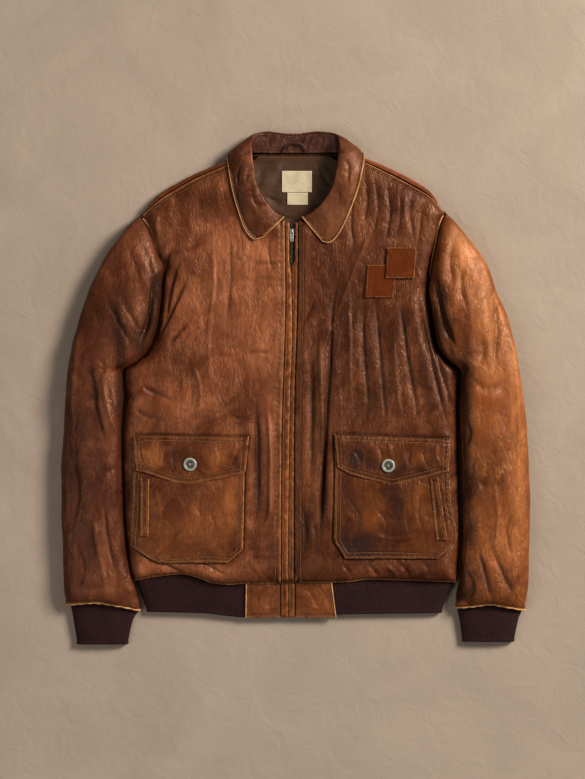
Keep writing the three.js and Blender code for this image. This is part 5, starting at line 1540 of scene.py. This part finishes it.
def pocketRelief(half):
    def relief(points, normals, edges):
        x, y = points[..., 0], points[..., 1]
        sides = nearest(edges, "low", "first", "last")
        free = smooth(sides / 12)
        slack = smooth((-126 - y) / 24)  # below the flap, where the pocket has held things
        full = 3.0 * smooth(sides / 60) * smooth((y + 262) / 60)
        folds = creaseRelief(x, y, pocketCreases[half["name"]]) + stagger(points, 22, half["sign"])
        sewn = turnedEdge(sides, (3.4, 9.0), 0.7, 0.6)
        puckers = pucker(x + y, sides, 6, 8, 0.3)
        lines = sewnLines(sides, (3.0, 9.0), 1.1)
        return free * slack * full, free * slack * folds + sewn + puckers, lines

    return relief


def flapRelief(half):
    def relief(points, normals, edges):
        x, y = points[..., 0], points[..., 1]
        rim = nearest(edges, "low", "first", "last")
        free = smooth(edges["any"] / 11)
        out, level = half["button"]
        button = bump(np.hypot(np.abs(x) - out, y - level), 13)
        folds = creaseRelief(x, y, flapCreases[half["name"]]) + 0.9 * stagger(points, 16, 3 * half["sign"])
        sewn = turnedEdge(rim, (3.2, 8.6), 0.8, 0.6) + turnedEdge(edges["high"], (3.0, 8.8), 0.7, 0.6)
        puckers = pucker(x - y, rim, 6, 7.5, 0.45) + pucker(x, edges["high"], 6, 8, 0.16)
        lines = sewnLines(rim, (2.8, 8.6), 1.0) + sewnLines(edges["high"], (2.0, 8.8), 1.0)
        return 0.8 * free, (free * folds + puckers) * (1 - button) + sewn, lines

    return relief


# the big dark spot on the left pocket is a stain; the lighter spots paint a pinkish sheen
pocketSpots = {
    "right": [(0.9, -92, -165, 14, 44), (-0.6, -180, -150, 36, 24), (0.5, -150, -215, 50, 30),
              (-0.7, -226, -190, 10, 60), (-0.5, -120, -248, 40, 12)],
    "left": [(-2.2, 97, -236, 30, 17), (0.8, 120, -190, 28, 36), (-0.7, 152, -165, 18, 60),
             (0.8, 190, -172, 16, 40), (-0.5, 80, -170, 8, 60), (0.4, 190, -236, 40, 16)],
}
flapSpots = {
    "right": [(0.9, -205, -100, 16, 18), (-0.8, -170, -100, 20, 20), (0.9, -112, -104, 14, 16),
              (-0.7, -85, -112, 10, 14)],
    "left": [(-0.9, 104, -104, 26, 18), (0.7, 132, -96, 10, 16), (0.6, 188, -104, 14, 16),
             (-0.7, 160, -124, 40, 10), (0.5, 222, -100, 8, 16)],
}
for name, half in halves.items():
    front, look = name + "_front", name + "Pocket"
    inner, outer = half["pocketInner"], half["pocketOuter"]
    form = overFront(half, inner, outer, inner[0][0], inner[-1][0], gaps["lay"] + cloth["leather"])
    pocket = buildCloth(name + "PocketLeather", form, look, 1.7,
                        relief=pocketRelief(half), spots=pocketSpots[name],
                        worn=("low", "first", "last"))
    standsFor(pocket, name + "_pocket")
    flap = buildCloth(name + "FlapLeather", flapForm(half), look, 1.5,
                      relief=flapRelief(half), spots=flapSpots[name],
                      worn=("low", "first", "last"))
    standsFor(flap, name + "_flap")
    inner, outer = half["weltInner"], half["weltOuter"]
    form = overFront(half, inner, outer, min(inner[0][0], outer[0][0]), inner[-1][0],
                     flapLift + cloth["leather"])
    welt = buildCloth(name + "SideWeltLeather", form, look, 1.2,
                      worn=("first", "last"), relief=trimRelief(0.4, 14, 3, 3.4, 0.6, 0.8))
    standsFor(welt, name + "_side_welt")

patchPlan = {
    "lower": {"inner": [(135.5, 109), (184, 112)], "outer": [(135.5, 151), (184, 155)],
              "lift": gaps["lay"]},
    "upper": {"inner": [(164, 139), (210, 142)], "outer": [(164, 182), (210, 185)],
              "lift": 2 * gaps["lay"] + cloth["patch"]},
}
for name, plan in patchPlan.items():
    bottom, top = plan["inner"][0][0], plan["inner"][-1][0]
    form = overFront(halves["left"], plan["inner"], plan["outer"], bottom, top,
                     plan["lift"] + cloth["patch"])
    patch = buildCloth(name + "PatchLeather", form, "patch", 1.4, wall="patch",
                       relief=lambda points, normals, edges: (
                           0.35 * rumple(points, 20, octaves=2, seed=6),
                           turnedEdge(edges["any"], (3.0,), 0.35, 0.35),
                           0.5 * sewnLines(edges["any"], (2.6,))))
    size = (0.044, top * mm - bottom * mm)
    standsFor(patch, name + "_patch")
print("pockets and patches made")

# shoulder straps

# "from" and "to" are degrees round the shoulder's edge, "start" is a share of its length
strapPlan = {"from": 70, "to": -40, "start": 1 / 7, "short": 10}


def strapForm(half):
    lift = gaps["lay"] + gaps["seam"] + cloth["leather"]

    def form(c, s):
        start = mix(half["neckCorner"], half["tipOut"], strapPlan["start"])
        out = mix(start, half["tipOut"] - strapPlan["short"], c)
        angle = np.radians(mix(strapPlan["from"], strapPlan["to"], s))
        top = frontHeight(half, out, half["topAt"](out))
        return stack(half["sign"] * out, half["topAt"](out) + (half["reachAt"](out) + lift) * np.cos(angle),
                     top / 2 + (top / 2 + lift) * np.sin(angle))

    return form


for name, half in halves.items():
    strap = buildCloth(name + "StrapLeather", strapForm(half), "strap", 1.9, (0, 1, 0.5), worn=(),
                       relief=lambda points, normals, edges: (
                           0.3 * rumple(points, 14, octaves=2, seed=3),
                           turnedEdge(nearest(edges, "low", "high"), (3.0,), 0.3, 0.4),
                           sewnLines(edges["low"], (0.0, 3.0))))
    standsFor(strap, name + "_shoulder_strap")
print("straps made")

# buttons

buttonPlan = {"lift": 0.7, "thick": 3, "hole": 1.0, "holeSpread": 2.4, "rimFrom": 6.2, "rimFade": 1.4,
              "thread": (2.6, 0.75, 0.6), "threadRise": 2.1,
              "profile": [(0, 2.0), (4.6, 2.0), (6.0, 2.3), (7.2, 3.0), (8.8, 3.0), (9.7, 2.5),
                          (10, 1.6), (9.6, 0.5), (8.6, 0), (0, 0)]}


def holePlaces(half):
    out, level = (np.array(value, float) for value in half["button"])
    x, y, z = onFront(half, out, level, flapLift + cloth["leather"] + buttonPlan["lift"])
    spread = buttonPlan["holeSpread"]
    angles = [(k + 0.5) * math.pi / 2 for k in range(4)]
    return (x, y, z), [(x + spread * math.cos(a), y + spread * math.sin(a)) for a in angles]


def drilled(bm, cutters):  # cuts the holes and hands back a plain mesh
    scratch = [addObject("scratch", meshFrom("scratch", part)) for part in (bm, cutters)]
    cut = scratch[0].modifiers.new("holes", "BOOLEAN")
    cut.object = scratch[1]
    cut.solver = "EXACT"
    bpy.context.view_layer.update()
    whole = scratch[0].evaluated_get(bpy.context.evaluated_depsgraph_get())
    result = bmesh.new()
    result.from_mesh(whole.to_mesh())
    whole.to_mesh_clear()
    for obj in scratch:
        bpy.data.objects.remove(obj)
    return result


for name, half in halves.items():
    (x, y, z), holes = holePlaces(half)
    disc = bmesh.new()
    line = [disc.verts.new((r * mm, 0, h * mm)) for r, h in buttonPlan["profile"]]
    edges = [disc.edges.new(pair) for pair in zip(line, line[1:])]
    bmesh.ops.spin(disc, geom=line + edges, axis=(0, 0, 1), cent=(0, 0, 0), steps=56,
                   angle=2 * math.pi, use_merge=True)
    bmesh.ops.remove_doubles(disc, verts=disc.verts, dist=1e-6)
    bmesh.ops.recalc_face_normals(disc, faces=disc.faces)
    bmesh.ops.translate(disc, verts=disc.verts, vec=Vector((x, y, z)) * mm)
    drills = bmesh.new()
    for holeX, holeY in holes:
        matrix = Matrix.Translation(Vector((holeX, holeY, z + buttonPlan["thick"] / 2)) * mm)
        radius, depth = buttonPlan["hole"] * mm, 2 * buttonPlan["thick"] * mm
        bmesh.ops.create_cone(drills, cap_ends=True, segments=20, radius1=radius, radius2=radius,
                              depth=depth, matrix=matrix)
    button = drilled(disc, drills)
    rim = button.verts.layers.float.new("edge")
    for vert in button.verts:
        away = math.hypot(vert.co.x / mm - x, vert.co.y / mm - y)
        vert[rim] = float(smooth((away - buttonPlan["rimFrom"]) / buttonPlan["rimFade"]))
    obj = finished(name + "HornButton", meshFrom(name + "HornButton", button), "button")
    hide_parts(name + "_button")
    threads = bmesh.new()
    for turn in (math.pi / 4, -math.pi / 4):
        place = (x, y, z + buttonPlan["threadRise"])
        matrix = laidAt(place, buttonPlan["thread"], Matrix.Rotation(turn, 4, "Z"))
        bmesh.ops.create_icosphere(threads, subdivisions=2, radius=1, matrix=matrix)
    finished(name + "ButtonThread", meshFrom(name + "ButtonThread", threads), "knot")
print("buttons made")

# sewing: rows of stitches and raised seams that follow the pieces' edges

sewing = {"stitch": 2.6, "gap": 1.0, "width": 0.52, "rise": 0.36, "sink": 0.1}


def edgePath(name, side, inset, start=0.0, end=1.0):  # points and normals at "inset" from an edge
    piece = piecesByName[name]
    grids = [piece["points"], piece["normals"], piece["edges"][side][..., None]]
    if side in ("first", "last"):
        grids = [grid.transpose(1, 0, 2) for grid in grids]
    if side in ("high", "last"):
        grids = [grid[::-1] for grid in grids]
    points, normals, away = grids
    count = points.shape[1]
    columns = range(int(start * (count - 1)), int(end * (count - 1)) + 1)
    at = [[np.interp(inset, away[:, k, 0], values[:, k, axis]) for axis in range(3)]
          for values in (points, normals) for k in columns]
    half = len(at) // 2
    return np.array(at[:half]), unit(np.array(at[half:]))


def evenly(points, values, pitch):  # points and values at an even pitch along a path
    length = runLengths(points)
    places = np.arange(pitch / 2, length[-1] - pitch / 2, pitch)

    def read(rows):
        return stack(*[np.interp(places, length, column) for column in rows.T])

    return read(points), read(values)


def stitchRows(name, rows):
    bm = bmesh.new()
    size = (sewing["stitch"] / 2, sewing["width"], sewing["rise"])
    for row in rows:
        places, normals = evenly(*edgePath(*row), sewing["stitch"] + sewing["gap"])
        if len(places) < 3:
            continue
        along = unit(np.gradient(places, axis=0))
        for place, tangent, normal in zip(places + normals * sewing["sink"], along, unit(normals)):
            side = np.cross(normal, tangent)
            axes = Matrix(np.array([tangent, side, np.cross(tangent, side)]).T.tolist()).to_4x4()
            bmesh.ops.create_icosphere(bm, subdivisions=1, radius=1, matrix=laidAt(place, size, axes))
    for face in bm.faces:
        face.smooth = True
    finished(name, meshFrom(name, bm), "thread")


def seamRidge(name, row, lift, radius, finish, straightUp=False):  # a raised seam or piping
    points, normals = edgePath(*row)
    shift = lift * (np.array([0, 0, 1]) if straightUp else normals)
    curve = bpy.data.curves.new(name, "CURVE")
    curve.dimensions = "3D"
    curve.bevel_depth = radius * mm
    curve.bevel_resolution = 2
    curve.use_fill_caps = True
    line = curve.splines.new("POLY")
    line.points.add(len(points) - 1)
    for point, place in zip(line.points, points + shift):
        point.co = (*[float(v) * mm for v in place], 1)
    line.use_smooth = True
    finished(name, curve, finish)


for name in halves:
    front, pocket, flap = (name + part + "Leather" for part in ("Front", "Pocket", "Flap"))
    tab, welt = name + "HemTabLeather", name + "SideWeltLeather"
    stitchRows(name + "FrontStitches", [
        (front, "first", 9.0, 0.005, 0.985), (front, "high", 3.8, 0.24, 0.97),
        (front, "high", 9.0, 0.26, 0.97), (front, "low", 4.0, 0.03, 0.97)])
    stitchRows(name + "PocketStitches", [
        (pocket, side, inset, start, 0.86 if side != "low" else 0.94)
        for inset, start in ((3.4, 0.03), (9.0, 0.06)) for side in ("low", "first", "last")])
    stitchRows(name + "FlapStitches", [
        (flap, side, inset, 0.03 + inset / 250, 0.97 - inset / 250)
        for inset in (3.2, 8.8) for side in ("low", "high", "first", "last")])
    stitchRows(name + "TabStitches", [(tab, side, 3.6, 0.05, 0.95) for side in ("last", "high")])
    stitchRows(name + "WeltStitches", [
        (welt, "first", 3.4, 0.03, 0.97), (welt, "last", 3.4, 0.03, 0.97),
        (name + "ZipWeltLeather", "last", 2.4, 0.01, 0.97)])
    seamRidge(name + "ShoulderRidge", (front, "high", 0.6, 0.3, 0.985), 0.6, 1.1, "seam")
    seamRidge(name + "ArmholeRidge", (front, "last", 0.8, 0.78, 0.995), 3.0, 1.2, "piping", True)
    seamRidge(name + "HemRidge", (front, "low", 0.6, 0.03, 0.97), 0.4, 0.8, "seam")
    sleeveEnd = (name + "SleeveLeather", "high", 0.8, 0.0, 0.5)
    seamRidge(name + "SleeveEndPiping", sleeveEnd, 0.4, 1.5, "piping")
    seamRidge(name + "TabPiping", (tab, "last", 0.4), 0.2, 0.9, "piping")
stitchRows("neckStitches", [("collarStandLeather", "low", 1.4, 0.34, 0.66)])
stitchRows("collarStitches", [("collarFallLeather", "high", 4.4, 0.02, 0.44),
                              ("collarFallLeather", "high", 4.4, 0.56, 0.98),
                              ("collarFallLeather", "first", 4.4, 0.1, 0.85),
                              ("collarFallLeather", "last", 4.4, 0.1, 0.85)])
for name, side, start, end in (("Left", "high", 0.0, 0.43), ("Right", "high", 0.57, 1.0),
                               ("LeftEnd", "first", 0.0, 1.0), ("RightEnd", "last", 0.0, 1.0)):
    seamRidge("collarEdge" + name, ("collarFallLeather", side, 0.5, start, end), 0.1, 0.6, "piping")
print("sewing made")

# floor, light and camera

surroundings = {"floor": (0.292, 0.229, 0.174), "floorHalf": 3, "floorDrop": 0.4, "world": 0.22,
                "sky": (0.95, 0.96, 1.0), "camera": (0, -0.00225, 4.397), "lens": 135}
lamps = {
    "key": {"energy": 300.0, "size": 1.35, "place": (2.92, 1.72, 2.48), "color": (1.0, 0.97, 0.93)},
    "fill": {"energy": 26.0, "size": 2.0, "place": (-1.6, -0.9, 2.2), "color": (0.97, 0.98, 1.0)},
}
material, tree, shader, place = newMaterial("plaster", 0.95, 0.2)
dye = useGroup(tree, "mottle", {"Vector": place})
darker = tuple(0.9 * value for value in surroundings["floor"])
trowelled = noiseAt(tree, place, 26.0, 6.0, 0.6, 1.2)
setInputs(tree, shader, {"Base Color": blendColour(tree, dye["Clouds"], surroundings["floor"], darker),
                         "Normal": bumpOf(tree, trowelled, 0.004, 0.35)})
ground = bmesh.new()
bmesh.ops.create_grid(ground, x_segments=1, y_segments=1, size=surroundings["floorHalf"])
bmesh.ops.translate(ground, verts=ground.verts, vec=(0, 0, -surroundings["floorDrop"] * mm))
floor = addObject("floor", meshFrom("floor", ground))
floor.data.materials.append(material)

for name, plan in lamps.items():  # each lamp looks at the middle of the jacket
    light = bpy.data.lights.new(name, "AREA")
    light.energy = plan["energy"]
    light.size = plan["size"]
    light.color = plan["color"]
    lamp = addObject(name, light)
    lamp.location = plan["place"]
    lamp.rotation_euler = (-Vector(plan["place"])).to_track_quat("-Z", "Y").to_euler()
world = bpy.data.worlds.new("studio")
world.use_nodes = True
setInputs(world.node_tree, world.node_tree.nodes["Background"],
          {"Color": (*surroundings["sky"], 1), "Strength": surroundings["world"]})
bpy.context.scene.world = world

lens = bpy.data.cameras.new("camera")
lens.lens = surroundings["lens"]
lens.sensor_width = 36
camera = addObject("camera", lens)
camera.location = surroundings["camera"]
bpy.context.scene.camera = camera
bpy.context.scene.view_settings.view_transform = "Standard"
bpy.context.scene.view_settings.look = "Medium High Contrast"
print("stage made")
